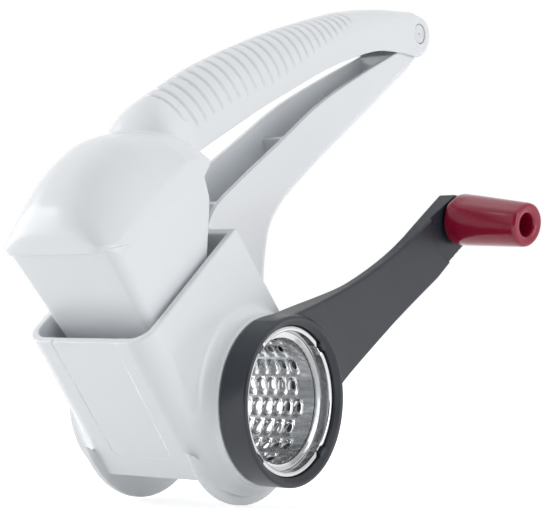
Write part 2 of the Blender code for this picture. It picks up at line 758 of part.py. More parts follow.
def build_hinge_pin(hinge, white):
    """Headed hinge pin and the cap pressed on its other end."""
    outer = lever_half(HINGE_Y, HINGE_Z)
    seat = outer - PIN_HEAD_DEPTH + GAP
    face = outer - 0.0002
    chamfer = 0.0003
    cap_bore = PIN_RADIUS - 0.0008
    pin = [
        (-seat + 2.0 * GAP, 0.0), (-seat + 2.0 * GAP, PIN_RADIUS), (seat, PIN_RADIUS),
        (seat, PIN_HEAD_RADIUS), (face - chamfer, PIN_HEAD_RADIUS),
        (face, PIN_HEAD_RADIUS - chamfer), (face, 0.0)]
    neck = [(-face + 0.0002, 0.0), (-face + 0.0002, cap_bore - GAP), (-seat + 2.0 * GAP, cap_bore - GAP)]
    add_object("hinge_pin", turn(neck + pin[1:], PIN_STEPS, closed=False), hinge, white)
    cap = [
        (-face, cap_bore), (-face, PIN_HEAD_RADIUS - chamfer),
        (-face + chamfer, PIN_HEAD_RADIUS), (-seat, PIN_HEAD_RADIUS), (-seat, cap_bore)]
    add_object("hinge_pin_cap", turn(cap, PIN_STEPS), hinge, white)


def box_outline():
    """Side of the press box with the lever closed, in (s, h)."""
    (y0, z0), (y1, z1) = hood_rim()
    slope = atan2(z1 - z0, y1 - y0)
    drop = (sin(slope) * GAP, -cos(slope) * GAP)
    front_top = unlean(turned((y0 + 0.0030 * cos(slope) + drop[0],
                               z0 + 0.0030 * sin(slope) + drop[1]), CLOSING_ANGLE))
    foot = DRUM_RADIUS + TOOTH_HEIGHT + BOX_FOOT_CLEARANCE
    front_low = (-0.0214, 0.0152)
    hollow = arc(foot, 138.0, 44.0, 12)
    back = []
    for i in range(5):
        h = 0.0165 + (0.0455 - 0.0165) * i / 4
        back.append((box_back(h), h))
    back_top = unlean(turned((y1 - HOOD_OVERHANG * cos(slope) + drop[0],
                              z1 - HOOD_OVERHANG * sin(slope) + drop[1]), CLOSING_ANGLE))
    back_end = (min(back[-1][0], back_top[0]), back_top[1])
    share = (back_end[0] - front_top[0]) / (back_top[0] - front_top[0])
    back_end = (back_end[0], front_top[1] + (back_top[1] - front_top[1]) * share)
    return front_top, front_low, hollow, back, back_end


def build_press_box(hinge, white):
    """Hollow press box: tapered walls, rounded corners and a foot hollowed for the drum."""
    front_top, front_low, hollow, back, back_end = box_outline()

    def at_rest(point):
        return turned(lean(point), -CLOSING_ANGLE)

    def box_half(y, z):
        h = unlean(turned((y, z), CLOSING_ANGLE))[1]
        share = (h - 0.0152) / (0.0500 - 0.0152)
        return BOX_FOOT_HALF + (BOX_TOP_HALF - BOX_FOOT_HALF) * share

    outline = [at_rest(p) for p in [front_top, front_low] + hollow + back + [back_end]]
    bm = prism(outline, box_half)
    front_line = [at_rest(front_top), at_rest(front_low)]
    round_edges(bm, along_outline(front_line), BOX_CORNER, 5)
    back_line = [at_rest(point) for point in back + [back_end]]
    round_edges(bm, along_outline(back_line), 0.0020, 2)
    box = add_object("press_box", from_hinge(bm), hinge, white)

    wall = BOX_WALL
    slope = (front_low[0] - front_top[0]) / (front_top[1] - front_low[1])
    above = 0.012
    floor = arc(DRUM_RADIUS + TOOTH_HEIGHT + BOX_FOOT_CLEARANCE + wall, 128.0, 54.0, 10)
    room = [(front_top[0] + wall - slope * above, front_top[1] + above)]
    room += [(front_low[0] + wall - slope * (floor[0][1] - front_low[1]), floor[0][1])]
    room += floor
    room += [(s - wall, h) for s, h in back if h > floor[-1][1]]
    room += [(back_end[0] - wall, back_end[1] + above)]

    def inner_half(y, z):
        return box_half(y, z) - wall

    space = prism([at_rest(point) for point in room], inner_half)
    combine(box, add_object("box_room", from_hinge(space), hinge))


def build_drum_strip(axis, steel, number):
    """One strip of the drum's sheet: staggered rows of holes, each with a tooth along one edge."""
    bm = bmesh.new()
    strip_turn = 2.0 * pi / DRUM_STRIPS
    seam = GAP / 2.0 / DRUM_RADIUS
    rows = HOLE_ROWS // DRUM_STRIPS
    row_turn = strip_turn / rows
    start_turn = number * strip_turn
    half_pitch = HOLE_PITCH / 2.0
    band = 2 * HOLE_COLUMNS + 1
    first_x = DRUM_END - DRUM_BLANK - band * half_pitch
    radii = {"outer": DRUM_RADIUS, "inner": DRUM_RADIUS - DRUM_SHEET}

    def place(x, turn_angle, radius):
        return bm.verts.new((x, radius * cos(turn_angle), radius * sin(turn_angle)))

    def edge_turn(row):
        inset_turn = seam if row == 0 else -seam if row == rows else 0.0
        return start_turn + row * row_turn + inset_turn

    grid = {}
    for layer, radius in radii.items():
        for row in range(rows + 1):
            for k in range(band + 1):
                grid[layer, row, k] = place(first_x + k * half_pitch, edge_turn(row), radius)
            grid[layer, row, "start"] = place(DRUM_START, edge_turn(row), radius)
            grid[layer, row, "end"] = place(DRUM_END, edge_turn(row), radius)

    def quad(layer, corners):
        bm.faces.new(corners if layer == "outer" else list(reversed(corners)))

    def hole_ring(layer, row, centre_x):
        ring = []
        for across, around in HOLE_SHAPE:
            x = centre_x + HOLE_WIDTH * across
            along = HOLE_LENGTH * around
            lift = TOOTH_HEIGHT if around > 0.0 else 0.0
            hole_turn = start_turn + (row + 0.5) * row_turn + along / DRUM_RADIUS
            ring.append(place(x, hole_turn, radii[layer] + lift))
        return ring

    # Corners of a hole's field paired with the hole's corners, round the hole
    pairs = [(0, 0), (1, 0), (1, 1), (2, 1), (3, 2), (4, 3), (5, 4)]
    for row in range(rows):
        above = row + 1
        offset = row % 2
        for layer in radii:
            first = grid[layer, row, "start"], grid[layer, above, "start"]
            quad(layer, [first[0], grid[layer, row, 0], grid[layer, above, 0], first[1]])
            last = grid[layer, row, "end"], grid[layer, above, "end"]
            quad(layer, [grid[layer, row, band], last[0], last[1], grid[layer, above, band]])
            spare = 0 if offset else band - 1
            quad(layer, [grid[layer, row, spare], grid[layer, row, spare + 1],
                         grid[layer, above, spare + 1], grid[layer, above, spare]])
        for column in range(HOLE_COLUMNS):
            k = 2 * column + offset
            centre_x = first_x + (k + 1) * half_pitch
            rims = []
            for layer in radii:
                border = [
                    grid[layer, above, k], grid[layer, above, k + 1], grid[layer, above, k + 2],
                    grid[layer, row, k + 2], grid[layer, row, k + 1], grid[layer, row, k]]
                rim = hole_ring(layer, row, centre_x)
                rims.append(rim)
                for (b0, r0), (b1, r1) in zip(pairs, pairs[1:] + pairs[:1]):
                    corners = [border[b1], border[b0], rim[r0], rim[r1]]
                    quad(layer, list(dict.fromkeys(corners)))
            for i, upper in enumerate(rims[0]):
                j = (i + 1) % len(HOLE_SHAPE)
                bm.faces.new((upper, rims[0][j], rims[1][j], rims[1][i]))
        for key in ("start", "end"):
            bm.faces.new((
                grid["outer", row, key], grid["outer", above, key],
                grid["inner", above, key], grid["inner", row, key]))
    for row in (0, rows):
        keys = ["start"] + list(range(band + 1)) + ["end"]
        for near, far in zip(keys, keys[1:]):
            bm.faces.new((
                grid["outer", row, near], grid["outer", row, far],
                grid["inner", row, far], grid["inner", row, near]))
    add_object(f"drum_strip_{number + 1}", bm, axis, steel)


def build_drum(axis, steel):
    """Perforated drum, in strips of two rows of holes."""
    for number in range(DRUM_STRIPS):
        build_drum_strip(axis, steel, number)


def build_drum_flange(axis, steel):
    """Pressed ring at the drum's open end: web, neck and notched flange."""
    web = DRUM_END + GAP
    neck_end = web + NECK_LENGTH
    inner = DRUM_RADIUS - DRUM_SHEET
    sheet = NECK_SHEET
    profile = [
        (web, inner), (web, NECK_RADIUS - sheet * 0.5), (web + sheet * 0.5, NECK_RADIUS),
        (neck_end - sheet, NECK_RADIUS), (neck_end - sheet, FLANGE_RADIUS), (neck_end, FLANGE_RADIUS),
        (neck_end, NECK_RADIUS - sheet), (web + sheet, NECK_RADIUS - sheet), (web + sheet, inner)]
    flange = add_object("drum_flange", turn(profile, RING_STEPS), axis, steel)
    for i in range(NOTCH_COUNT):
        angle = radians(45.0 + 360.0 * i / NOTCH_COUNT)
        notch = slab([
            (NECK_RADIUS + GAP, -NOTCH_WIDTH / 2.0), (FLANGE_RADIUS + 0.002, -NOTCH_WIDTH / 2.0),
            (FLANGE_RADIUS + 0.002, NOTCH_WIDTH / 2.0), (NECK_RADIUS + GAP, NOTCH_WIDTH / 2.0)],
            neck_end - 0.003, neck_end + 0.003)
        bmesh.ops.rotate(notch, verts=notch.verts, matrix=Matrix.Rotation(angle, 3, "X"))
        combine(flange, add_object(f"flange_notch_{i + 1}", notch, axis))


def build_drum_end_ring(axis, steel):
    """Turned ring around the drum's far end, running in the left plate's bore."""
    inner = DRUM_RADIUS + GAP
    start = DRUM_START
    end = DRUM_START + END_RING_LENGTH
    roll = 0.0005
    profile = [
        (start, inner), (start, END_RING_RADIUS - roll), (start + roll, END_RING_RADIUS),
        (end - roll, END_RING_RADIUS), (end, END_RING_RADIUS - roll), (end, inner)]
    add_object("drum_end_ring", turn(profile, RING_STEPS), axis, steel)


def arm_upper(along):
    """Distance of the arm's upper edge from its centre line."""
    near = 0.0268
    far = 0.0086
    share = min(max((along - 0.006) / 0.074, 0.0), 1.0)
    eased = 1.0 - (1.0 - share) ** 1.7
    return near + (far - near) * eased


def arm_point(along, across, x):
    """Point of the arm from its place along and across its centre line."""
    y = along * cos(ARM_ANGLE) - across * sin(ARM_ANGLE)
    z = along * sin(ARM_ANGLE) + across * cos(ARM_ANGLE)
    return (x, y, z)


def arm_front(along):
    """X of the arm's front face, which leans outwards towards the knob."""
    start = 0.032
    share = max(along - start, 0.0) / (ARM_LENGTH - start)
    rise = min(max((along - 0.060) / 0.038, 0.0), 1.0)
    lip = RING_LIP * (1.0 - rise * rise * (3.0 - 2.0 * rise))
    return RING_FRONT - lip + ARM_LEAN * share * (0.55 + 0.45 * share)


def arm_back(along):
    """X of the arm's back face: as deep as the ring at the root, then an even thickness."""
    share = min(max((along - 0.020) / 0.030, 0.0), 1.0)
    skirt = COLLAR_END + GAP
    thin = arm_front(along) - ARM_THICKNESS
    eased = share * share * (3.0 - 2.0 * share)
    thick_end = max(along - ARM_LENGTH + 0.0253, 0.0) / 0.03 * 0.0022
    return skirt + (thin - skirt) * eased - thick_end


def build_crank(axis, slate):
    """Crank moulding: ring with its sleeve and seat for the drum, and the tapering arm."""
    lower = 0.0120
    end = ARM_LENGTH - 0.0028
    stations = (0.012, 0.020, 0.030, 0.040, 0.050, 0.062, 0.075, end - 0.0175, end - 0.0065)
    rings = []
    for along in stations:
        upper = arm_upper(along)
        if along < RING_RADIUS:
            upper = min(upper, sqrt(RING_RADIUS ** 2 - along ** 2) + along * 0.09)
        low = lower - max(along - end + 0.0175, 0.0) * 0.1
        front, back, c = arm_front(along), arm_back(along), ARM_CHAMFER
        rings.append([
            arm_point(along, -low + c, front), arm_point(along, upper - c, front),
            arm_point(along, upper, front - c), arm_point(along, upper, back + c),
            arm_point(along, upper - c, back), arm_point(along, -low + c, back),
            arm_point(along, -low, back + c), arm_point(along, -low, front - c)])
    for k in range(1, 6):
        angle = radians(18.0 * k - 8.0)
        along = end + (ARM_END_RADIUS + 0.0006) * sin(angle)
        reach = (ARM_END_RADIUS + 0.0006) * cos(angle)
        front, back, c = arm_front(along), arm_back(along), ARM_CHAMFER * 0.6
        reach = max(reach, 0.0022)
        rings.append([
            arm_point(along, -reach + c, front), arm_point(along, reach - c, front),
            arm_point(along, reach, front - c), arm_point(along, reach, back + c),
            arm_point(along, reach - c, back), arm_point(along, -reach + c, back),
            arm_point(along, -reach, back + c), arm_point(along, -reach, front - c)])
    crank = add_object("crank_arm", loft(rings), axis, slate)

    sleeve_start = PLATE_OUTER_HALF + 0.0040
    skirt = COLLAR_END + GAP
    sleeve = FLANGE_RADIUS + GAP
    rim = 0.0010
    body = turn([
        (sleeve_start, 0.0), (sleeve_start, sleeve), (skirt, sleeve), (skirt, RING_RADIUS - rim * 0.5),
        (skirt + rim * 0.5, RING_RADIUS), (RING_FRONT - rim, RING_RADIUS),
        (RING_FRONT, RING_RADIUS - rim), (RING_FRONT, 0.0)], RING_STEPS, closed=False)
    combine(crank, add_object("crank_ring", body, axis), "UNION")

    ledge = DRUM_END + GAP + NECK_LENGTH - NECK_SHEET - GAP
    neck = NECK_RADIUS + GAP
    seat = FLANGE_RADIUS + GAP
    bore = turn([
        (sleeve_start - 0.01, 0.0), (sleeve_start - 0.01, neck), (ledge, neck), (ledge, seat),
        (RING_FRONT - 0.0008, seat), (RING_FRONT + 0.0002, seat + 0.0010), (RING_FRONT + 0.01, seat + 0.0010),
        (RING_FRONT + 0.01, 0.0)], RING_STEPS, closed=False)
    combine(crank, add_object("crank_bore", bore, axis))

    lug_half = NOTCH_WIDTH / 2.0 - GAP
    for i in range(NOTCH_COUNT):
        angle = radians(45.0 + 360.0 * i / NOTCH_COUNT)
        lug = slab([
            (NECK_RADIUS + 2.0 * GAP, -lug_half), (seat + 0.0008, -lug_half),
            (seat + 0.0008, lug_half), (NECK_RADIUS + 2.0 * GAP, lug_half)],
            ledge - 0.0005, ledge + 0.0018)
        bmesh.ops.rotate(lug, verts=lug.verts, matrix=Matrix.Rotation(angle, 3, "X"))
        combine(crank, add_object(f"crank_lug_{i + 1}", lug, axis), "UNION")
    return crank


def build_knob(crank, axis, knob_axis, slate, crimson, steel):
    """Oval turning knob on a steel spindle, held by a screw deep in its bore."""
    plate = 0.0035
    socket = turn([
        (-0.02, 0.0), (-0.02, SPINDLE_RADIUS + GAP), (0.02, SPINDLE_RADIUS + GAP), (0.02, 0.0)],
        PIN_STEPS, closed=False)
    combine(crank, add_object("spindle_socket", socket, knob_axis))
    face = turn([
        (0.0, 0.0), (0.0, ARM_END_RADIUS + 0.006), (0.02, ARM_END_RADIUS + 0.006), (0.02, 0.0)],
        32, closed=False)
    combine(crank, add_object("knob_seat_cut", face, knob_axis))

    floor = KNOB_LENGTH - KNOB_BORE_DEPTH
    chamfer = 0.0008
    base = 2.0 * GAP
    outside = [
        (base, KNOB_BASE_RADIUS - chamfer), (base + chamfer, KNOB_BASE_RADIUS),
        (KNOB_LENGTH * 0.5, KNOB_BASE_RADIUS * 0.45 + KNOB_END_RADIUS * 0.55),
        (KNOB_LENGTH - chamfer, KNOB_END_RADIUS), (KNOB_LENGTH, KNOB_END_RADIUS - chamfer)]
    inside = [
        (KNOB_LENGTH, KNOB_BORE_RADIUS + 0.0004), (KNOB_LENGTH - 0.0008, KNOB_BORE_RADIUS),
        (floor, KNOB_BORE_RADIUS), (floor, SPINDLE_RADIUS + SPINDLE_CLEARANCE),
        (base, SPINDLE_RADIUS + SPINDLE_CLEARANCE)]
    knob = turn(outside + inside, 24)
    for vert in knob.verts:
        radius = hypot(vert.co.y, vert.co.z)
        if radius > KNOB_BORE_RADIUS + 0.001:
            along = vert.co.y * cos(ARM_ANGLE) + vert.co.z * sin(ARM_ANGLE)
            stretch = along * (KNOB_OVAL - 1.0)
            vert.co.y += stretch * cos(ARM_ANGLE)
            vert.co.z += stretch * sin(ARM_ANGLE)
    add_object("knob", knob, knob_axis, crimson)

    tip = floor + GAP
    spindle = turn([
        (-plate - 0.0010, 0.0), (-plate - 0.0010, SPINDLE_RADIUS), (tip, SPINDLE_RADIUS), (tip, 0.0)],
        PIN_STEPS, closed=False)
    add_object("knob_spindle", spindle, knob_axis, steel)
    head = tip + GAP
    top = head + SCREW_HEAD_HEIGHT
    screw = turn([
        (head, 0.0), (head, SCREW_HEAD_RADIUS), (top - 0.0006, SCREW_HEAD_RADIUS),
        (top, SCREW_HEAD_RADIUS - 0.0008), (top, 0.0)], PIN_STEPS, closed=False)
    add_object("knob_screw", screw, knob_axis, steel)


def main():
    clear_scene()
    white = material("white_plastic", WHITE, 0.25)
    slate = material("slate_plastic", SLATE, 0.35)
    crimson = material("crimson_plastic", CRIMSON, 0.18)
    steel = material("polished_steel", STEEL, 0.12, 1.0)

    axis = empty("drum_axis", (AXIS_X, AXIS_Y, AXIS_Z))
    hinge = empty("lever_hinge", (0.0, HINGE_Y, HINGE_Z), parent=axis)
    knob_place = arm_point(ARM_LENGTH, 0.0, arm_front(ARM_LENGTH) - 0.0004)
    knob_turn = Vector((
        cos(KNOB_LEAN), -sin(KNOB_LEAN) * cos(ARM_ANGLE), -sin(KNOB_LEAN) * sin(ARM_ANGLE)))
    rotation = Vector((1.0, 0.0, 0.0)).rotation_difference(knob_turn).to_euler()
    knob_axis = empty("knob_axis", knob_place, rotation, axis)

    build_hopper(axis, white)
    build_side_plates(axis, white)
    build_collars(axis, white)
    build_lower_handle(axis, white)
    build_lever(hinge, white)
    build_press_box(hinge, white)
    build_hinge_pin(hinge, white)
    build_drum(axis, steel)
    build_drum_flange(axis, steel)
    build_drum_end_ring(axis, steel)
    crank = build_crank(axis, slate)
    build_knob(crank, axis, knob_axis, slate, crimson, steel)


main()
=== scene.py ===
"""Dresses the drum grater: white mouldings, steel drum, slate crank and crimson knob.

Shapes are drawn in millimetres around the drum's axis, with x along the axis towards the
crank, y towards the handle's hinge and z up, and are put in place in metres.
"""

import json
from math import atan2, cos, pi, radians, sin, sqrt, tan

import bmesh
import bpy
import numpy as np
from bpy.props import FloatProperty, FloatVectorProperty, IntProperty, PointerProperty
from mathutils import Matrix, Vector


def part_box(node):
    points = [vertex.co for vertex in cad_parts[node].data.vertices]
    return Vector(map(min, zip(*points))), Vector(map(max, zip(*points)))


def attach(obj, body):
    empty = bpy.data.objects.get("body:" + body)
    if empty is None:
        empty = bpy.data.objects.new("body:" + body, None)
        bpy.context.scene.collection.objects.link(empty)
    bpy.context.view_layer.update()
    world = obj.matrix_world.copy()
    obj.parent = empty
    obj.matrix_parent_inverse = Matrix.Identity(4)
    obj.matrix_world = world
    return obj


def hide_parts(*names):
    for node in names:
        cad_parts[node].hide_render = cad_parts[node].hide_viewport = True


bl_info = {
    "name": "Drum Grater",
    "version": (1, 0, 0),
    "blender": (4, 5, 0),
    "location": "View3D > Sidebar > Grater",
    "description": "Builds the visible pieces of a hand cranked drum grater",
    "category": "Add Mesh",
}

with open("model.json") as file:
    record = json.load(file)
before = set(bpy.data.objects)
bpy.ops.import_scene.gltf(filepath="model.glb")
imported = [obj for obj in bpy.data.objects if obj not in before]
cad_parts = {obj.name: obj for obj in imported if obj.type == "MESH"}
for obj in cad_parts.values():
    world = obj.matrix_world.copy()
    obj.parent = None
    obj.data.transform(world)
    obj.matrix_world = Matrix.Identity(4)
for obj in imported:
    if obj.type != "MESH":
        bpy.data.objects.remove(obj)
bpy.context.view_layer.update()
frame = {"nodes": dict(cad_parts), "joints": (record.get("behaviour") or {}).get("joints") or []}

MM = 0.001
QUARTER = pi / 2.0
LEAN = radians(38.2)  # the hopper's lean away from upright
HINGE = (128.0, 135.0)  # the handles' hinge in (y, z)
CLOSING = radians(7.0)  # from rest until the press box meets the drum
ARM_ANGLE = radians(33.6)  # rise of the crank's arm
PIN_HOLE = 2.7  # radius of the holes for the hinge pin and the knob's spindle


def drum_axis():
    """Centre of the drum's axis in metres, halfway between the two collars."""
    left_low, left_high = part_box("left_collar")
    right_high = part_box("right_collar")[1]
    return Vector((
        (left_low.x + right_high.x) / 2.0,
        (left_low.y + left_high.y) / 2.0,
        (left_low.z + left_high.z) / 2.0))


AXIS = drum_axis()


# Distances: negative inside a form, in millimetres

def meet(a, b, rounding=0.0):
    """What two forms share, with the edge between them rounded."""
    sharp = np.maximum(a, b)
    if rounding <= 0.0:
        return sharp
    corner = np.hypot(np.maximum(a + rounding, 0.0), np.maximum(b + rounding, 0.0))
    return np.minimum(sharp, -rounding) + corner


def join(a, b, fillet=0.0):
    """Two forms in one, with a fillet where they meet."""
    return -meet(-a, -b, fillet)


def cut(a, b, rounding=0.0):
    """A form with another taken out of it."""
    return meet(a, -b, rounding)


def band(value, low, high):
    """Distance to the space between two parallel planes."""
    return np.maximum(low - value, value - high)


def ease(value, low, high):
    """From 0 to 1 between two values, with soft ends."""
    share = np.clip((value - low) / (high - low), 0.0, 1.0)
    return share * share * (3.0 - 2.0 * share)


def outline_distance(a, b, outline):
    """Signed distance of points (a, b) to a closed outline."""
    near = np.full(a.shape, 1e9)
    inside = np.zeros(a.shape, bool)
    for (a0, b0), (a1, b1) in zip(outline, np.roll(outline, -1, axis=0)):
        da, db = a1 - a0, b1 - b0
        share = np.clip(((a - a0) * da + (b - b0) * db) / (da * da + db * db + 1e-12), 0.0, 1.0)
        near = np.minimum(near, (a - a0 - share * da) ** 2 + (b - b0 - share * db) ** 2)
        crosses = (b0 > b) != (b1 > b)
        if b1 != b0:
            inside ^= crosses & (a < (a1 - a0) * (b - b0) / (b1 - b0) + a0)
    near = np.sqrt(near)
    return np.where(inside, -near, near)


class Profile:
    """An outline's signed distance, kept on a square grid so that it is quick to read."""

    def __init__(self, outline, step=0.4, margin=14.0):
        outline = np.array(outline, float)
        self.step = step
        self.low = outline.min(axis=0) - margin
        size = np.ceil((outline.max(axis=0) + margin - self.low) / step).astype(int) + 2
        a = self.low[0] + step * np.arange(size[0])
        b = self.low[1] + step * np.arange(size[1])
        grid_a, grid_b = np.meshgrid(a, b, indexing="ij")
        self.table = outline_distance(grid_a, grid_b, outline)

    def __call__(self, a, b):
        rows, columns = self.table.shape
        u = np.clip((a - self.low[0]) / self.step, 0.0, rows - 1.001)
        v = np.clip((b - self.low[1]) / self.step, 0.0, columns - 1.001)
        i, j = u.astype(int), v.astype(int)
        u, v = u - i, v - j
        t = self.table
        return (
            t[i, j] * (1 - u) * (1 - v) + t[i + 1, j] * u * (1 - v)
            + t[i, j + 1] * (1 - u) * v + t[i + 1, j + 1] * u * v)


def arc(radius, start, end, steps, centre=(0.0, 0.0)):
    """Points on an arc between two angles in degrees."""
    return [(
        centre[0] + radius * cos(radians(start + (end - start) * i / steps)),
        centre[1] + radius * sin(radians(start + (end - start) * i / steps)))
        for i in range(steps + 1)]


def curve(points, steps=10):
    """A smooth run of points through the given ones."""
    padded = [points[0], *points, points[-1]]
    made = []
    for p0, p1, p2, p3 in zip(padded, padded[1:], padded[2:], padded[3:]):
        for i in range(steps):
            t = i / steps
            made.append(tuple(0.5 * (
                2 * p1[k] + (p2[k] - p0[k]) * t
                + (2 * p0[k] - 5 * p1[k] + 4 * p2[k] - p3[k]) * t * t
                + (3 * p1[k] - p0[k] - 3 * p2[k] + p3[k]) * t ** 3) for k in (0, 1)))
    return made + [points[-1]]


def leaning(y, z):
    """The hopper's own directions: s towards the handle and h out of the mouth."""
    return y * cos(LEAN) + z * sin(LEAN), z * cos(LEAN) - y * sin(LEAN)


# Turning a form into a mesh

def edge_cells(inside, axis):
    """Grid edges along an axis that cross the surface, and the four cells around each."""
    first = np.take(inside, range(0, inside.shape[axis] - 1), axis=axis)
    second = np.take(inside, range(1, inside.shape[axis]), axis=axis)
    edges = np.argwhere(first != second)
    others = [k for k in range(3) if k != axis]
    keep = np.ones(len(edges), bool)
    for k in others:
        keep &= (edges[:, k] > 0) & (edges[:, k] < inside.shape[k] - 1)
    edges = edges[keep]
    one, two = (others[0], others[1]) if axis != 1 else (others[1], others[0])
    cells = []
    for back_one, back_two in ((1, 1), (0, 1), (0, 0), (1, 0)):
        cell = edges.copy()
        cell[:, one] -= back_one
        cell[:, two] -= back_two
        cells.append(cell)
    return edges, np.stack(cells, axis=1), inside[tuple(edges.T)]


def corner_slices(shape):
    """Slices of a grid that give each of its cells' eight corners in turn."""
    for shift in np.ndindex(2, 2, 2):
        yield tuple(slice(k, n - 1 + k) for k, n in zip(shift, shape))


def surface_net(distance, low, high, cell):
    """Points and four-sided faces of the surface where a distance is zero inside a box."""
    low = np.array(low, float)
    coarse = np.ceil((np.array(high) - low) / (4.0 * cell)).astype(int) + 1
    axes = [low[k] + 4.0 * cell * np.arange(coarse[k]) for k in range(3)]
    corners = np.stack(np.meshgrid(*axes, indexing="ij"), axis=-1).reshape(-1, 3)
    far = distance(corners).reshape(coarse)
    least = np.full([n - 1 for n in coarse], 1e9)
    for part in corner_slices(coarse):
        least = np.minimum(least, np.abs(far[part]))
    near = least < 4.6 * cell  # a little more than a coarse cell's width
    fine = [4 * (n - 1) + 1 for n in coarse]
    wanted = np.zeros(fine, bool)
    spread = near.repeat(4, 0).repeat(4, 1).repeat(4, 2)
    for part in corner_slices(fine):
        wanted[part] |= spread
    values = far.repeat(4, 0).repeat(4, 1).repeat(4, 2)[:fine[0], :fine[1], :fine[2]].copy()
    places = np.argwhere(wanted)
    chunk = 600000
    for start in range(0, len(places), chunk):
        some = places[start:start + chunk]
        values[tuple(some.T)] = distance(low + cell * some)

    inside = values < 0.0
    crossings, quads = [], []
    for axis in range(3):
        edges, cells, first_inside = edge_cells(inside, axis)
        ends = edges.copy()
        ends[:, axis] += 1
        here, there = values[tuple(edges.T)], values[tuple(ends.T)]
        point = edges.astype(float)
        point[:, axis] += here / (here - there)
        number = (cells[..., 0] * fine[1] + cells[..., 1]) * fine[2] + cells[..., 2]
        crossings.append((point, number))
        quads.append(np.where(first_inside[:, None], number, number[:, ::-1]))
    numbers = np.concatenate([number for point, number in crossings])
    points = np.concatenate([point for point, number in crossings])
    used, index = np.unique(numbers, return_inverse=True)
    index = index.reshape(numbers.shape)
    count = np.bincount(index.ravel(), minlength=len(used)).astype(float)
    verts = np.stack([
        np.bincount(index.ravel(), weights=np.repeat(points[:, k], 4), minlength=len(used)) / count
        for k in range(3)], axis=1)
    faces = np.searchsorted(used, np.concatenate(quads))
    return low + cell * verts, faces


def slope(distance, points, reach=0.12):
    """Direction in which a distance grows fastest."""
    made = np.zeros_like(points)
    for k in range(3):
        step = np.zeros(3)
        step[k] = reach
        made[:, k] = distance(points + step) - distance(points - step)
    size = np.linalg.norm(made, axis=1, keepdims=True)
    return made / np.maximum(size, 1e-9), size[:, 0] / (2.0 * reach)


def settle(distance, points, rounds, limit):
    """Move points onto the surface."""
    for _ in range(rounds):
        away, steep = slope(distance, points)
        step = distance(points) / np.maximum(steep, 0.3)
        points = points - away * np.clip(step, -limit, limit)[:, None]
    return points


def mesh_from(name, verts, faces):
    """A mesh from arrays of points and of faces with as many corners each."""
    mesh = bpy.data.meshes.new(name)
    mesh.vertices.add(len(verts))
    mesh.vertices.foreach_set("co", verts.astype(np.float32).ravel())
    corners = faces.shape[1]
    mesh.loops.add(faces.size)
    mesh.loops.foreach_set("vertex_index", faces.astype(np.int32).ravel())
    mesh.polygons.add(len(faces))
    mesh.polygons.foreach_set("loop_start", np.arange(0, faces.size, corners, dtype=np.int32))
    mesh.update(calc_edges=True)
    mesh.validate()
    return mesh


def moulded(name, distance, low, high, cell, share, finish, body):
    """A smooth piece from a form: meshed, thinned, set on the form's surface and shaded by it."""
    verts, faces = surface_net(distance, low, high, cell)
    verts = settle(distance, verts, 2, cell)
    piece = bpy.data.objects.new(name, mesh_from(name, verts, faces))
    bpy.context.collection.objects.link(piece)
    if share < 1.0:
        thin = piece.modifiers.new("thin", "DECIMATE")
        thin.ratio = share
        graph = bpy.context.evaluated_depsgraph_get()
        mesh = bpy.data.meshes.new_from_object(piece.evaluated_get(graph))
        piece.modifiers.clear()
        old = piece.data
        piece.data = mesh
        bpy.data.meshes.remove(old)
    mesh = piece.data
    verts = np.empty(len(mesh.vertices) * 3, np.float32)
    mesh.vertices.foreach_get("co", verts)
    verts = settle(distance, verts.reshape(-1, 3).astype(float), 2, cell * 0.5)
    normals, _ = slope(distance, verts)
    mesh.vertices.foreach_set("co", (verts * MM + np.array(AXIS)).astype(np.float32).ravel())
    mesh.polygons.foreach_set("use_smooth", np.ones(len(mesh.polygons), bool))
    mesh.normals_split_custom_set_from_vertices(normals.astype(np.float32))
    mesh.materials.append(finish)
    mesh.update()
    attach(piece, body)
    return piece


# Materials

def shader_nodes(name):
    """A new material with its tree cleared to one Principled shader."""
    made = bpy.data.materials.new(name)
    made.use_nodes = True
    nodes, links = made.node_tree.nodes, made.node_tree.links
    return made, nodes, links, nodes["Principled BSDF"]


def noise(nodes, links, scale, detail=3.0, stretch=None):
    """Noise over the object's own coordinates, in metres."""
    place = nodes.new("ShaderNodeTexCoord")
    texture = nodes.new("ShaderNodeTexNoise")
    texture.inputs["Scale"].default_value = scale
    texture.inputs["Detail"].default_value = detail
    source = place.outputs["Object"]
    if stretch:
        mapping = nodes.new("ShaderNodeMapping")
        mapping.inputs["Scale"].default_value = stretch
        links.new(source, mapping.inputs["Vector"])
        source = mapping.outputs["Vector"]
    links.new(source, texture.inputs["Vector"])
    return texture.outputs["Fac"]


def between(nodes, links, factor, low, high):
    """A value that follows a factor between two limits."""
    spread = nodes.new("ShaderNodeMapRange")
    spread.inputs["To Min"].default_value = low
    spread.inputs["To Max"].default_value = high
    links.new(factor, spread.inputs["Value"])
    return spread.outputs["Result"]


def tint(nodes, links, factor, first, second):
    """A colour that follows a factor between two colours."""
    mix = nodes.new("ShaderNodeMix")
    mix.data_type = "RGBA"
    mix.inputs["A"].default_value = (*first, 1.0)
    mix.inputs["B"].default_value = (*second, 1.0)
    links.new(factor, mix.inputs["Factor"])
    return mix.outputs["Result"]


def bump(nodes, links, shader, height, distance, strength):
    """Small relief from a height."""
    relief = nodes.new("ShaderNodeBump")
    relief.inputs["Distance"].default_value = distance
    relief.inputs["Strength"].default_value = strength
    links.new(height, relief.inputs["Height"])
    links.new(relief.outputs["Normal"], shader.inputs["Normal"])


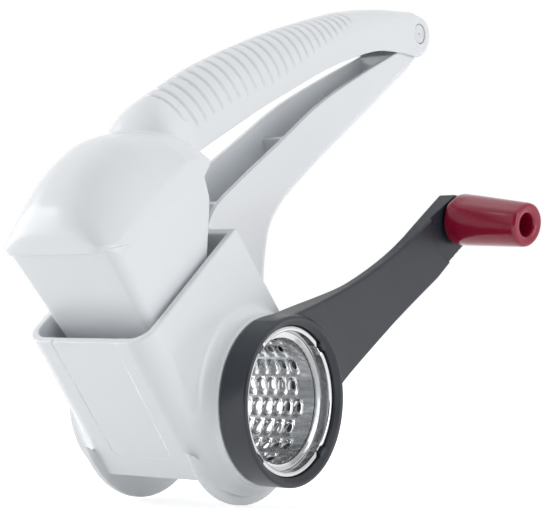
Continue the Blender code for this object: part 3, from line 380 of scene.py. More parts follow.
def moulded_plastic(name, colour, shade, roughness, grain):
    """Moulded plastic: slow colour drift, uneven gloss and a fine skin."""
    made, nodes, links, shader = shader_nodes(name)
    drift = noise(nodes, links, 45.0, 2.0)
    links.new(tint(nodes, links, drift, colour, shade), shader.inputs["Base Color"])
    links.new(
        between(nodes, links, noise(nodes, links, 160.0), roughness * 0.82, roughness * 1.2),
        shader.inputs["Roughness"])
    bump(nodes, links, shader, noise(nodes, links, 2600.0, 2.0), 0.00002, grain)
    shader.inputs["IOR"].default_value = 1.49
    return made


def steel_finish(name, colour, roughness):
    """Bright rolled sheet: faint lines round the drum and small smears."""
    made, nodes, links, shader = shader_nodes(name)
    shader.inputs["Metallic"].default_value = 1.0
    lines = noise(nodes, links, 120.0, 4.0, (30.0, 1.0, 1.0))
    dark = tuple(0.82 * part for part in colour)
    links.new(tint(nodes, links, lines, dark, colour), shader.inputs["Base Color"])
    smears = noise(nodes, links, 260.0)
    links.new(
        between(nodes, links, smears, roughness * 0.6, roughness * 1.7), shader.inputs["Roughness"])
    bump(nodes, links, shader, noise(nodes, links, 420.0, 3.0, (4.0, 1.0, 1.0)), 0.00004, 0.25)
    return made


# Sizes and colours

class GRATER_PG_body(bpy.types.PropertyGroup):
    """Sizes of the white body moulding."""

    wall: FloatProperty(
        name="Wall", description="Thickness of the hopper's walls",
        default=0.0026, min=0.0015, max=0.004, unit="LENGTH")
    corner: FloatProperty(
        name="Corner radius", description="Radius of the hopper's front corners",
        default=0.0080, min=0.003, max=0.012, unit="LENGTH")
    flare: FloatProperty(
        name="Flare radius", description="Hollow curve from the side wall to the bearing collar",
        default=0.0040, min=0.0005, max=0.006, unit="LENGTH")
    handle_round: FloatProperty(
        name="Handle rounding", description="Rounding of the handle's lower edges",
        default=0.0050, min=0.001, max=0.007, unit="LENGTH")
    rib_wall: FloatProperty(
        name="Rib thickness", description="Thickness of the ribs in the handle's channel",
        default=0.0016, min=0.0008, max=0.003, unit="LENGTH")


class GRATER_PG_lever(bpy.types.PropertyGroup):
    """Sizes of the press lever and its hood."""

    crown: FloatProperty(
        name="Crown", description="Height of the lever's arched top at the hinge",
        default=0.0075, min=0.004, max=0.012, unit="LENGTH")
    groove_depth: FloatProperty(
        name="Groove depth", description="Depth of the finger grooves",
        default=0.00085, min=0.0, max=0.0015, unit="LENGTH")
    box_corner: FloatProperty(
        name="Box corner", description="Radius of the press box's front corners",
        default=0.0040, min=0.002, max=0.009, unit="LENGTH")


class GRATER_PG_drum(bpy.types.PropertyGroup):
    """Sizes of the perforated drum."""

    hole_length: FloatProperty(
        name="Hole length", description="Length of a hole around the drum",
        default=0.0054, min=0.002, max=0.0062, unit="LENGTH")
    hole_width: FloatProperty(
        name="Hole width", description="Width of a hole along the drum",
        default=0.0030, min=0.001, max=0.0036, unit="LENGTH")
    tooth_height: FloatProperty(
        name="Tooth height", description="How far each hole's cutting lip stands out",
        default=0.0008, min=0.0, max=0.0009, unit="LENGTH")
    rows: IntProperty(
        name="Rows", description="Rows of holes around the drum", default=18, min=6, max=24)
    columns: IntProperty(
        name="Holes in a row", description="Holes along each row", default=10, min=2, max=11)


class GRATER_PG_crank(bpy.types.PropertyGroup):
    """Sizes of the crank and its knob."""

    edge_round: FloatProperty(
        name="Edge rounding", description="Rounding of the crank's edges",
        default=0.0009, min=0.0002, max=0.002, unit="LENGTH")
    ring_lip: FloatProperty(
        name="Ring lip", description="How far the ring stands in front of the arm",
        default=0.0010, min=0.0, max=0.002, unit="LENGTH")
    knob_crease: FloatProperty(
        name="Knob ridge", description="How far the knob's upper ridge stands out",
        default=0.0006, min=0.0, max=0.001, unit="LENGTH")


class GRATER_PG_finish(bpy.types.PropertyGroup):
    """Colours of the materials."""

    white: FloatVectorProperty(
        name="White plastic", description="Colour of the body and the lever",
        subtype="COLOR", size=3, min=0.0, max=1.0, default=(0.79, 0.815, 0.84))
    slate: FloatVectorProperty(
        name="Slate plastic", description="Colour of the crank",
        subtype="COLOR", size=3, min=0.0, max=1.0, default=(0.015, 0.020, 0.030))
    crimson: FloatVectorProperty(
        name="Crimson plastic", description="Colour of the knob",
        subtype="COLOR", size=3, min=0.0, max=1.0, default=(0.31, 0.004, 0.030))
    steel: FloatVectorProperty(
        name="Steel", description="Colour of the drum's sheet",
        subtype="COLOR", size=3, min=0.0, max=1.0, default=(0.66, 0.67, 0.68))


class GRATER_PG_stage(bpy.types.PropertyGroup):
    """Camera, lamps and floor."""

    lens: FloatProperty(
        name="Lens", description="Focal length of the camera", default=118.4, min=20.0, max=300.0,
        unit="CAMERA")
    azimuth: FloatProperty(
        name="Camera azimuth", description="Turn of the camera around the object",
        default=radians(35.54), unit="ROTATION")
    elevation: FloatProperty(
        name="Camera elevation", description="Height of the camera as an angle",
        default=radians(-1.37), unit="ROTATION")
    key: FloatProperty(
        name="Key light", description="Strength of the left lamp, in watts; the others follow it",
        default=6.9, min=0.0, max=100.0)
    fill: FloatProperty(
        name="Sky light", description="Strength of the light from all sides",
        default=0.72, min=0.0, max=3.0)


def white_plastic():
    """The body's white, shared by every white piece."""
    found = bpy.data.materials.get("white_moulding")
    if found:
        return found
    white = bpy.context.scene.grater_finish.white
    shade = tuple(part * 0.975 for part in white)
    return moulded_plastic("white_moulding", white, shade, 0.24, 0.10)


def slate_plastic():
    """The crank's dark slate."""
    slate = bpy.context.scene.grater_finish.slate
    shade = (slate[0] * 1.12, slate[1] * 1.08, slate[2])
    return moulded_plastic("slate_moulding", slate, shade, 0.38, 0.12)


def steel_sheet():
    """Steel of the drum and of the knob's spindle and screw."""
    found = bpy.data.materials.get("steel_sheet")
    if found:
        return found
    return steel_finish("steel_sheet", tuple(bpy.context.scene.grater_finish.steel), 0.13)


# Body moulding

HOPPER_HALF = 25.0
HOPPER_FRONT = 31.7
OPEN_LOW, OPEN_BACK, OPEN_HALF = -6.6, -20.0, 22.4  # opening under the hopper's front wall
COLLAR_RADIUS = 27.6
COLLAR_END = 30.9
PLATE_MIDDLE = 21.0
BACKING_MIDDLE = 21.6  # the round plate's thicker part inside the hopper's wall
BEARING_RADIUS = 22.5
RECESS_RADIUS = 24.6  # seat around the crank's sleeve, wider than the bearing
RECESS_START = 22.4
SILL_RADIUS = 22.7  # how near the sills come to the drum's axis
SILL_FOOT = 4.0  # height in h at which the sills come nearest
SILL_HALF = 19.6
HANDLE_END = 6.6  # radius of the handle's end around the hinge
HANDLE_WALL = 2.1
CHANNEL_END = 111.5  # y at which the handle's channel stops before the hinge
RIB_PLACES = (7.0, 48.0, 84.0)
RIB_DROP = 6.0  # from the handle's upper line down to its ribs
RIB_TILT = atan2(54.8, 106.0)


def hopper_side():
    """Side of the hopper in (s, h), carried on past the front wall."""
    return [(-60.0, 49.5), (26.2, 49.5), *arc(31.0, 21.0, -152.0, 90), (-29.0, -12.6),
            (-31.2, -9.6), (-60.0, -9.5)]


def room_side():
    """Room inside the hopper in (s, h), open at the mouth and below."""
    return [(-70.0, 60.0), (24.1, 60.0), (23.6, 49.5), *arc(28.4, 21.0, -20.0, 30),
            (35.7, -13.0), (35.7, -45.0), (-70.0, -45.0)]


def plate_side():
    """Round side plate in (s, h), cut back above the hopper's lower edge."""
    return [*arc(28.1, 29.9, -20.8, 24), *arc(34.0, -20.8, -191.7, 100), (-25.2, -6.9),
            (-25.2, 14.0), (-17.7, 14.0), (17.7, 14.0)]


def sill_side(wall, side):
    """Sill in (s, h) that leads food from a wall of the hopper to the drum."""
    foot = side * sqrt(SILL_RADIUS * SILL_RADIUS - SILL_FOOT * SILL_FOOT)
    return [(wall + side * 1.2, 18.0), (wall, 18.0), (foot, SILL_FOOT), (foot, 2.2),
            (foot + side * 0.8, 2.2), (wall + side * 1.2, 14.8)]


def handle_low():
    """Lower line of the handle, from the hopper's back to the hinge."""
    return curve([
        (25.4, 24.0), (26.1, 36.0), (27.1, 46.2), (29.7, 56.0), (35.5, 63.2), (43.0, 69.2),
        (61.5, 81.4), (80.0, 92.6), (100.0, 104.6), (117.0, 115.2)])


def handle_high():
    """Upper line of the handle's walls."""
    return curve([(-9.6, 55.2), (-4.0, 63.0), (10.0, 72.2), (34.0, 86.6), (60.0, 102.2),
                  (88.0, 115.2), (116.0, 127.0)])


def handle_half(y):
    """Half width of the handle at a place along it."""
    return 13.0 - 5.1 * (y + 9.5) / 137.5


def handle_form(sizes):
    """Distances to the handle and to the open channel between its walls."""
    high, low = handle_high(), handle_low()
    high_y, high_z = zip(*high)
    side = Profile([*high, *arc(HANDLE_END, 100.0, -62.0, 24, HINGE), *low[::-1],
                    (22.0, 24.0), (-9.6, 40.0)])
    above_low = Profile([(25.4, -20.0), *low, (140.0, 128.0), (140.0, 200.0),
                         (-60.0, 200.0), (-60.0, -20.0)])
    below_high = Profile([(-60.0, 0.0), (-40.0, 35.0), *high, (135.0, 135.0), (160.0, 135.0),
                          (160.0, 0.0)])

    def distances(across, y, z):
        half = handle_half(y)
        over, under = above_low(y, z), below_high(y, z)
        outer = meet(over, across - half, sizes.handle_round / MM)
        outer = meet(meet(outer, under, 0.6), side(y, z) - 0.4)
        channel = meet(over + HANDLE_WALL, across - half + HANDLE_WALL, 3.0)
        channel = np.maximum(channel, y - CHANNEL_END)
        return outer, channel

    def ribs(y, z):
        for place in RIB_PLACES:
            along = (y - place) * cos(RIB_TILT)
            along = along + (z - np.interp(place, high_y, high_z)) * sin(RIB_TILT)
            yield meet(np.abs(along) - sizes.rib_wall / MM / 2.0, below_high(y, z) + RIB_DROP, 0.3)

    return distances, ribs


def body_form(sizes):
    """Distance to the whole body moulding."""
    wall = sizes.wall / MM
    corner = sizes.corner / MM
    hopper_plan, room_plan, plate_plan = [
        Profile(side) for side in (hopper_side(), room_side(), plate_side())]
    sills = [Profile(sill_side(-29.1, -1.0)), Profile(sill_side(27.2, 1.0))]
    handle, ribs = handle_form(sizes)

    def distance(points):
        x, y, z = points.T
        across = np.abs(x)
        s, h = leaning(y, z)
        radius = np.hypot(y, z)
        column = meet(across - HOPPER_HALF, -s - HOPPER_FRONT, corner)
        hopper = meet(hopper_plan(s, h), column, 0.6)
        collar = meet(radius - COLLAR_RADIUS, across - COLLAR_END, 0.7)
        outer = join(hopper, collar, sizes.flare / MM)
        grip, channel = handle(across, y, z)
        channel = np.maximum(channel, -hopper)
        for rib in ribs(y, z):
            channel = cut(channel, rib, 0.4)
        outer = cut(join(outer, grip, 2.5), channel, 0.5)
        room = meet(
            across - HOPPER_HALF + wall, -s - HOPPER_FRONT + wall, corner - wall)
        room = meet(room_plan(s, h), room)
        below_front = meet(meet(h - OPEN_LOW, s - OPEN_BACK), across - OPEN_HALF)
        shell = cut(cut(outer, room, 0.5), below_front, 0.3)
        plate = meet(plate_plan(s, h), np.abs(across - PLATE_MIDDLE) - 1.1, 0.4)
        backing = meet(meet(plate_plan(s, h), np.abs(across - BACKING_MIDDLE) - 1.5), hopper)
        shell = join(join(shell, plate, 0.4), backing)
        for sill in sills:
            shell = join(shell, meet(sill(s, h), across - SILL_HALF, 0.3), 0.4)
        recess = np.maximum(radius - RECESS_RADIUS, RECESS_START - across)
        shell = cut(shell, np.minimum(radius - BEARING_RADIUS, recess), 0.4)
        return np.maximum(shell, PIN_HOLE - np.hypot(y - HINGE[0], z - HINGE[1]))

    return distance


# Press lever, hood and box

CREST_CENTRE = (152.257, -170.332)
CREST_RADIUS = 316.024
CREST_START = 124.401  # degrees around the centre at which the crest comes out of the hood
LEVER_END = 9.2  # radius of the lever's end around the hinge
LEVER_WALL = 2.1
HOLLOW_END = 7.2  # radius of the lever's hollow around the hinge
GROOVES = 24
GROOVE_SHARE = 0.17  # half a groove's width as a share of the way to the next
ROOT_FLARE = 5.0
HOOD_FOOT = (-69.4, 45.2)  # lowest point of the hood's dome in (y, z)
HOOD_WAY = (0.8543, 0.5198)  # the way the dome runs from there
HOOD_HALF = 22.1
HOOD_ARCH = 2.9
LIP_SWEEP = 15.99  # how far the middle of the hood's back lip lies in front of its ends
LIP_HALF = 21.8
BOX_LOW, BOX_TALL = 15.2, 34.8  # in h, with the box pressed down
BOX_FOOT_HALF, BOX_SPREAD = 19.6, 2.5  # half width at the foot, and what it gains on the way up
BOX_FRONT = 21.4
BOX_FRONT_WAY = (0.983, 0.1835)
BOX_BACK = -19.0
BOX_FOOT_RADIUS = 23.5  # hollow of the foot around the drum
ROOT_START = -40.0  # y inside the hood from which the bar is drawn
HOLLOW_START = -14.0
END_SLOPE = tan(radians(22.0))  # edge of the opening in the lever's end
PIN_RECESS = 3.9


def lever_half(y):
    """Half width of the lever at a place along it."""
    return 11.1 - 0.7 * (y + 20.0) / 148.0


def lever_low():
    """Lower line of the lever's walls from the hood to the hinge."""
    return curve([(-30.0, 71.0), (-12.0, 79.8), (6.2, 88.8), (24.0, 97.4), (40.8, 104.8),
                  (58.7, 112.6), (74.1, 118.4), (96.1, 124.6), (112.0, 126.1), (128.0, 126.0)])


def crest_rise():
    """How far the crest lies outside its circle at places along it."""
    return np.array(curve([
        (-16.0, -2.0), (-10.3, 0.5), (-5.0, 3.3), (0.0, 4.8), (6.0, 5.1), (12.0, 4.8), (30.0, 3.7),
        (45.0, 2.4), (60.0, 1.3), (80.0, 0.4), (103.0, -0.1), (128.0, 0.3), (158.0, -0.6)])).T


def box_back():
    """The press box's side in (s, h), in front of its back wall."""
    wall = curve([(20.9, 9.0), (21.66, 16.5), (21.35, 23.75), (21.37, 31.0), (21.72, 38.25),
                  (22.38, 45.5), (22.8, 52.0), (23.4, 62.0)])
    return [*wall, (24.0, 90.0), (-60.0, 90.0), (-60.0, 9.0)]


def dome_line():
    """Middle line of the hood's dome in (u, v), u along the hood and v out of it."""
    return np.array(curve([
        (-3.0, -8.0), (0.0, 1.4), (1.5, 7.2), (5.0, 12.2), (10.0, 15.4), (16.0, 18.1), (23.0, 19.9),
        (30.0, 20.5), (37.0, 20.3), (44.0, 18.6), (50.4, 16.4), (58.0, 13.6), (70.0, 9.0)])).T


def groove_phase(along):
    """Counts the grooves along the crest: a groove lies at each whole number."""
    return ((4.158e-6 * along - 5.142e-4) * along + 0.20994) * along - 0.2897


def past_lip(across, y):
    """Distance past the hood's back lip, an arch in plan that ends at the hood's sides."""
    across = np.minimum(across, LIP_HALF)
    lip = -18.9 - LIP_SWEEP * (1.0 - (across / LIP_HALF) ** 2)
    return (y - lip) / np.sqrt(1.0 + (2.0 * LIP_SWEEP * across / LIP_HALF ** 2) ** 2)


def hood_form(sizes):
    """Distance to the hood and the press box under it."""
    behind = Profile(box_back(), 0.5)
    dome_u, dome_v = dome_line()
    dome_slope = np.gradient(dome_v, dome_u)

    def roof(across, u, v):
        """Distance to the dome, arched from side to side over the hood's low side lines."""
        side = np.interp(u, [0.0, 7.0, 16.0, 25.0, 37.0, 48.0, 54.0, 59.0],
                         [0.0, 0.2, 1.6, 3.0, 4.6, 5.6, 3.6, 0.0])
        crown = np.interp(u, dome_u, dome_v)
        share = np.clip(across / HOOD_HALF, 0.0, 1.2)
        arch = 1.0 - share ** HOOD_ARCH
        steep_u = np.interp(u, dome_u, dome_slope) * np.clip(arch, 0.0, 1.0)
        steep_x = (crown - side) * HOOD_ARCH * share ** (HOOD_ARCH - 1.0) / HOOD_HALF
        return (v - side - (crown - side) * arch) / np.sqrt(1.0 + steep_u ** 2 + steep_x ** 2)

    def distance(across, y, z):
        from_y, from_z = y - HOOD_FOOT[0], z - HOOD_FOOT[1]
        u = from_y * HOOD_WAY[0] + from_z * HOOD_WAY[1]
        v = -from_y * HOOD_WAY[1] + from_z * HOOD_WAY[0]
        dome = roof(across, u, v)
        beyond = past_lip(across, y)
        dy, dz = y - HINGE[0], z - HINGE[1]
        s, h = leaning(
            HINGE[0] + dy * cos(CLOSING) - dz * sin(CLOSING),
            HINGE[1] + dy * sin(CLOSING) + dz * cos(CLOSING))
        width = np.minimum(BOX_FOOT_HALF + BOX_SPREAD * (h - BOX_LOW) / BOX_TALL, HOOD_HALF)
        front = -(s + BOX_FRONT) * BOX_FRONT_WAY[0] - (h - BOX_LOW) * BOX_FRONT_WAY[1]
        box = meet(front, across - width, sizes.box_corner / MM)
        box = meet(box, behind(s, h), 1.5)
        box = meet(box, 15.4 - h, 0.8)
        box = cut(box, np.hypot(s, h) - BOX_FOOT_RADIUS, 0.5)
        box = meet(box, dome + 1.2 + 0.5 * np.maximum(beyond, 0.0), 1.0)
        box = meet(box, y - BOX_BACK, 0.8)
        hood = meet(meet(-u, across - HOOD_HALF, 7.0), dome, 0.5)
        floor_v = np.interp(
            u, [4.0, 12.0, 22.0, 53.6, 59.0, 64.0], [0.3, -2.6, -1.9, -2.2, 0.0, 2.2])
        hood = meet(meet(hood, floor_v - v, 0.5), beyond, 0.35)
        return join(box, hood, 0.4)

    return distance


def lever_form(sizes):
    """Distance to the lever with its hood and its press box."""
    below_low = Profile([
        (-60.0, 71.0), *lever_low(), (160.0, 126.0), (160.0, -20.0), (-60.0, -20.0)])
    rise = crest_rise()
    hood_and_box = hood_form(sizes)
    depth = sizes.groove_depth / MM
    end_crown = sizes.crown / MM
    half_at_hinge = lever_half(HINGE[0])

    def section(across, y, crest, along):
        """Distance to the lever's arched cross-section, which grows squarer towards the hinge."""
        power = np.interp(along, [-4.0, 10.0, 60.0, 110.0, 150.0], [2.3, 1.7, 1.8, 2.2, 3.0])
        tall = np.interp(along, [0.0, 60.0, 150.0], [15.3, 14.5, end_crown])
        half = lever_half(y) + ROOT_FLARE * (1.0 - ease(along, -12.0, 10.0))
        wide = np.sqrt(across ** 2 + 0.3) / half
        high = np.maximum(crest + tall, 0.0) / tall
        size = np.maximum(wide ** power + high ** power, 1e-6) ** (1.0 / power)
        steep = size ** (1.0 - power) * np.hypot(
            wide ** (power - 1.0) / half, high ** (power - 1.0) / tall)
        return (size - 1.0) / np.maximum(steep, 0.06)

    def grooves(crest, along):
        """Depth of the finger grooves, which end part of the way down the sides."""
        phase = groove_phase(along)
        off = np.abs(phase - np.round(phase)) / GROOVE_SHARE
        shown = (phase > 0.5) & (phase < GROOVES + 0.5)
        reach = np.interp(
            along, [6.0, 11.0, 60.0, 75.0, 90.0, 100.0, 110.0, 118.0],
            [10.5, 15.5, 15.5, 13.5, 10.5, 8.5, 6.3, 4.2])
        fade = 1.0 - ease(-crest, reach - 2.0, reach + 0.4)
        return depth * np.maximum(1.0 - off, 0.0) ** 1.3 * shown * fade

    def distance(points):
        x, y, z = points.T
        across = np.abs(x)
        from_y, from_z = y - CREST_CENTRE[0], z - CREST_CENTRE[1]
        angle = np.degrees(np.arctan2(from_z, from_y))
        along = CREST_RADIUS * np.radians(CREST_START - angle)
        crest = np.hypot(from_y, from_z) - CREST_RADIUS - np.interp(along, rise[0], rise[1])
        dy, dz = y - HINGE[0], z - HINGE[1]
        reach = np.hypot(dy, dz)
        past_hinge = np.where(dy > 0.0, reach, dy)
        bar = section(across, y, crest, along)
        outer = meet(bar + grooves(crest, along), past_hinge - LEVER_END, end_crown * 0.45)
        outer = meet(outer, -below_low(y, z), 0.6)
        outer = np.maximum(outer, ROOT_START - y)
        inner = np.maximum(bar + LEVER_WALL, past_hinge - HOLLOW_END)
        open_end = np.maximum(dz - END_SLOPE * dy, -dy)
        hollow = np.maximum(bar + LEVER_WALL, crest + 2.0)
        inner = np.minimum(inner, np.maximum(open_end, hollow))
        inner = np.maximum(inner, HOLLOW_START - y)
        lever = cut(outer, inner, 0.5)
        lever = join(lever, hood_and_box(across, y, z), 0.5)
        lever = np.maximum(lever, PIN_HOLE - reach)
        recess = np.maximum(reach - PIN_RECESS, half_at_hinge - 1.2 - across)
        return cut(lever, recess, 0.25)

    return distance


# Crank

RING_RADIUS = 27.4
RING_BACK = 31.2
RING_FRONT = 41.4
SLEEVE_RADIUS = 24.3
SLEEVE_BACK = 26.1
FLANGE_SEAT = 37.1  # where the ring's bore opens for the drum's flange
LUG_BACK, LUG_FRONT = 37.8, 40.0
KNOB_REACH = 110.3  # from the drum's axis to the knob's
ARM_END = 117.4
ARM_TIP = 107.0  # where the arm's rounded tip begins
TIP_RADIUS = 10.4
ARM_DEPTH = 5.2
ARM_LOW = 12.0  # how far the arm's lower edge lies from its centre line
KNOB_SEAT = 15.8
RING_BORE = 23.2
BEVEL_START, BEVEL_RADIUS = 39.8, 24.4  # widening of the bore at the ring's front
LUG_HALF, LUG_INNER, LUG_OUTER = 1.7, 23.5, 25.1


def arm_upper(along):
    """How far the arm's upper edge lies from its centre line."""
    share = np.clip((along - 6.0) / 74.0, 0.0, 1.0)
    return 26.8 - 18.2 * (1.0 - (1.0 - share) ** 1.7)


def arm_front(along):
    """X of the arm's front face, which leans outwards towards the knob."""
    share = np.maximum(along - 32.0, 0.0) / 78.3
    return RING_FRONT + 6.6 * share * (0.55 + 0.45 * share)


def to_quarter(turn):
    """Angle from the nearest lug: the four stand halfway between the quarters of a turn."""
    return turn % QUARTER - QUARTER / 2.0


def crank_form(sizes):
    """Distance to the crank's ring, sleeve and arm."""
    seat_place = np.array([
        float(arm_front(KNOB_REACH)) - 0.4, KNOB_REACH * cos(ARM_ANGLE),
        KNOB_REACH * sin(ARM_ANGLE)])
    knob = np.array(knob_direction())
    edge = sizes.edge_round / MM

    def arm_form(x, along, across):
        front = arm_front(along) - sizes.ring_lip / MM * (1.0 - ease(along, 60.0, 98.0))
        back = arm_front(along) - ARM_DEPTH - RING_BACK
        back = RING_BACK + back * ease(along, 20.0, 50.0)
        back = back - np.maximum(along - 85.0, 0.0) / 30.0 * 2.2
        low = ARM_LOW - np.maximum(along - 90.0, 0.0) * 0.1
        sides = np.maximum(across - arm_upper(along), -across - low)
        tip = np.hypot(np.maximum(along - ARM_TIP, 0.0), across) - TIP_RADIUS
        outline = np.maximum(sides, np.where(along > ARM_TIP, tip, along - ARM_END))
        outline = np.maximum(outline, 2.0 - along)
        return meet(outline, meet(x - front, back - x, edge), edge)

    def distance(points):
        x, y, z = points.T
        radius = np.hypot(y, z)
        along = y * cos(ARM_ANGLE) + z * sin(ARM_ANGLE)
        across = -y * sin(ARM_ANGLE) + z * cos(ARM_ANGLE)
        ring = meet(radius - RING_RADIUS, band(x, RING_BACK, RING_FRONT), edge)
        sleeve = meet(radius - SLEEVE_RADIUS, band(x, SLEEVE_BACK, 33.0), 0.4)
        body = join(join(ring, sleeve), arm_form(x, along, across), 0.6)
        around = points - seat_place
        height = around @ knob
        side = np.linalg.norm(around - height[:, None] * knob, axis=1)
        body = np.maximum(body, -np.maximum(-height, side - KNOB_SEAT))
        body = np.maximum(body, PIN_HOLE - side)
        bore = np.maximum(radius - SLEEVE_RADIUS, FLANGE_SEAT - x)
        bore = np.minimum(radius - RING_BORE, bore)
        bore = np.minimum(bore, radius - BEVEL_RADIUS - (x - BEVEL_START))
        body = cut(body, bore, 0.35)
        lug = meet(band(x, LUG_BACK, LUG_FRONT), band(radius, LUG_INNER, LUG_OUTER))
        lug = meet(np.abs(to_quarter(np.arctan2(z, y)) * radius) - LUG_HALF, lug, 0.3)
        return join(body, lug, 0.3)

    return distance


def knob_direction():
    """Direction of the knob's axis."""
    joint = next(item for item in frame["joints"] if item["name"] == "knob_spin")
    return Vector(joint["axis"]).normalized()


def knob_place():
    """Foot of the knob's axis in metres."""
    joint = next(item for item in frame["joints"] if item["name"] == "knob_spin")
    return Vector(joint["pos_m"])


def ring_mesh(rings):
    """A mesh from rings of points with as many points each; the last ring joins the first."""
    bm = bmesh.new()
    rows = [[bm.verts.new(point) for point in ring] for ring in rings]
    count = len(rows[0])
    for here, there in zip(rows, rows[1:] + rows[:1]):
        for i in range(count):
            j = (i + 1) % count
            bm.faces.new((here[i], here[j], there[j], there[i]))
    bmesh.ops.recalc_face_normals(bm, faces=bm.faces)
    return bm


def finish_piece(name, bm, finish, body, sharp):
    """Put a bmesh drawn in metres into the scene as a piece of a body."""
    mesh = bpy.data.meshes.new(name)
    bm.to_mesh(mesh)
    bm.free()
    mesh.materials.append(finish)
    mesh.shade_smooth()
    mesh.set_sharp_from_angle(angle=radians(sharp))
    piece = bpy.data.objects.new(name, mesh)
    bpy.context.collection.objects.link(piece)
    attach(piece, body)
    return piece


def knob_mesh(crease):
    """Oval knob with a ridge along its top, a dished end and a bore."""
    steps = 72
    ridge_angle, ridge_spread = radians(118.0), 0.42
    direction = knob_direction()
    side = Vector((0.0, cos(ARM_ANGLE), sin(ARM_ANGLE)))
    side = (side - side.dot(direction) * direction).normalized()
    up = direction.cross(side)
    foot = knob_place()
    outside = [
        (0.6, 7.9), (0.75, 8.55), (1.4, 9.15), (2.4, 9.35), (8.0, 9.1), (16.0, 8.65), (24.0, 8.2),
        (29.4, 7.85), (30.4, 7.65), (30.9, 7.2), (31.0, 6.7), (30.7, 5.2)]
    inside = [
        (30.5, 4.5), (30.0, 4.1), (29.0, 4.0), (20.0, 3.95), (12.0, 3.9), (12.0, 2.6), (0.6, 2.6)]
    rings = []
    for height, radius in outside + inside:
        ring = []
        for i in range(steps):
            angle = 2.0 * pi * i / steps
            r = radius
            if (height, radius) in outside:
                r = radius * (1.0 + 0.04 * cos(2.0 * angle))
                away = abs((angle - ridge_angle + pi) % (2.0 * pi) - pi)
                r += crease / MM * max(0.0, 1.0 - away / ridge_spread) ** 1.5
            point = foot + direction * (height * MM)
            point += (side * cos(angle) + up * sin(angle)) * (r * MM)
            ring.append(point)
        rings.append(ring)
    return ring_mesh(rings)


# Drum

DRUM_RADIUS = 20.7
SHEET = 0.45
DRUM_START, DRUM_END = -24.0, 34.3
HOLE_PITCH = 4.2  # from hole to hole along a row
TURN_PARTS = 5  # edges of the sheet around one row
HOLE_SPREAD = (1.0, 0.90, 0.72, 0.50, 0.34)  # sizes of the loops around a hole
HOLE_LIFT = (0.0, 0.12, 0.60, 0.92, 1.0)  # and their heights, as shares of the tooth's
HOLE_DISH = 0.58
DISH_GROWTH = 0.42


def drum_point(x, turn, r):
    """A place in metres from one along, around and away from the drum's axis."""
    return AXIS.x + x * MM, AXIS.y + r * cos(turn) * MM, AXIS.z + r * sin(turn) * MM


def hole_angles(border, centre_x, middle):
    """Directions in which the corners of a hole's patch lie from its middle."""
    angles = []
    for corner in border:
        turn = atan2(corner.co.z - AXIS.z, corner.co.y - AXIS.y)
        off = (turn - middle + pi) % (2.0 * pi) - pi
        angles.append(atan2(off * DRUM_RADIUS, (corner.co.x - AXIS.x) / MM - centre_x))
    return angles


def hole_point(sizes, angle, size, height, centre_x, middle, base):
    """A place on one of the loops that shape a hole's raised and dished rim."""
    half_length = sizes.hole_length / MM / 2.0
    half_width = sizes.hole_width / MM / 2.0
    grow = 1.0 + DISH_GROWTH * max(size - HOLE_DISH, 0.0) / (1.0 - HOLE_DISH)
    grow *= min(size / HOLE_DISH, 1.0)
    x = centre_x + half_width * grow * cos(angle) * (1.0 - 0.12 * sin(angle))
    off = half_length * min(grow, 1.0 + DISH_GROWTH * (grow - 1.0)) * sin(angle)
    off += half_length * 0.22 * (1.0 - size) * min(height, 1.0)
    lift = sizes.tooth_height / MM * height * (0.62 + 0.38 * max(sin(angle), 0.0))
    return drum_point(x, middle + off / DRUM_RADIUS, base + lift)


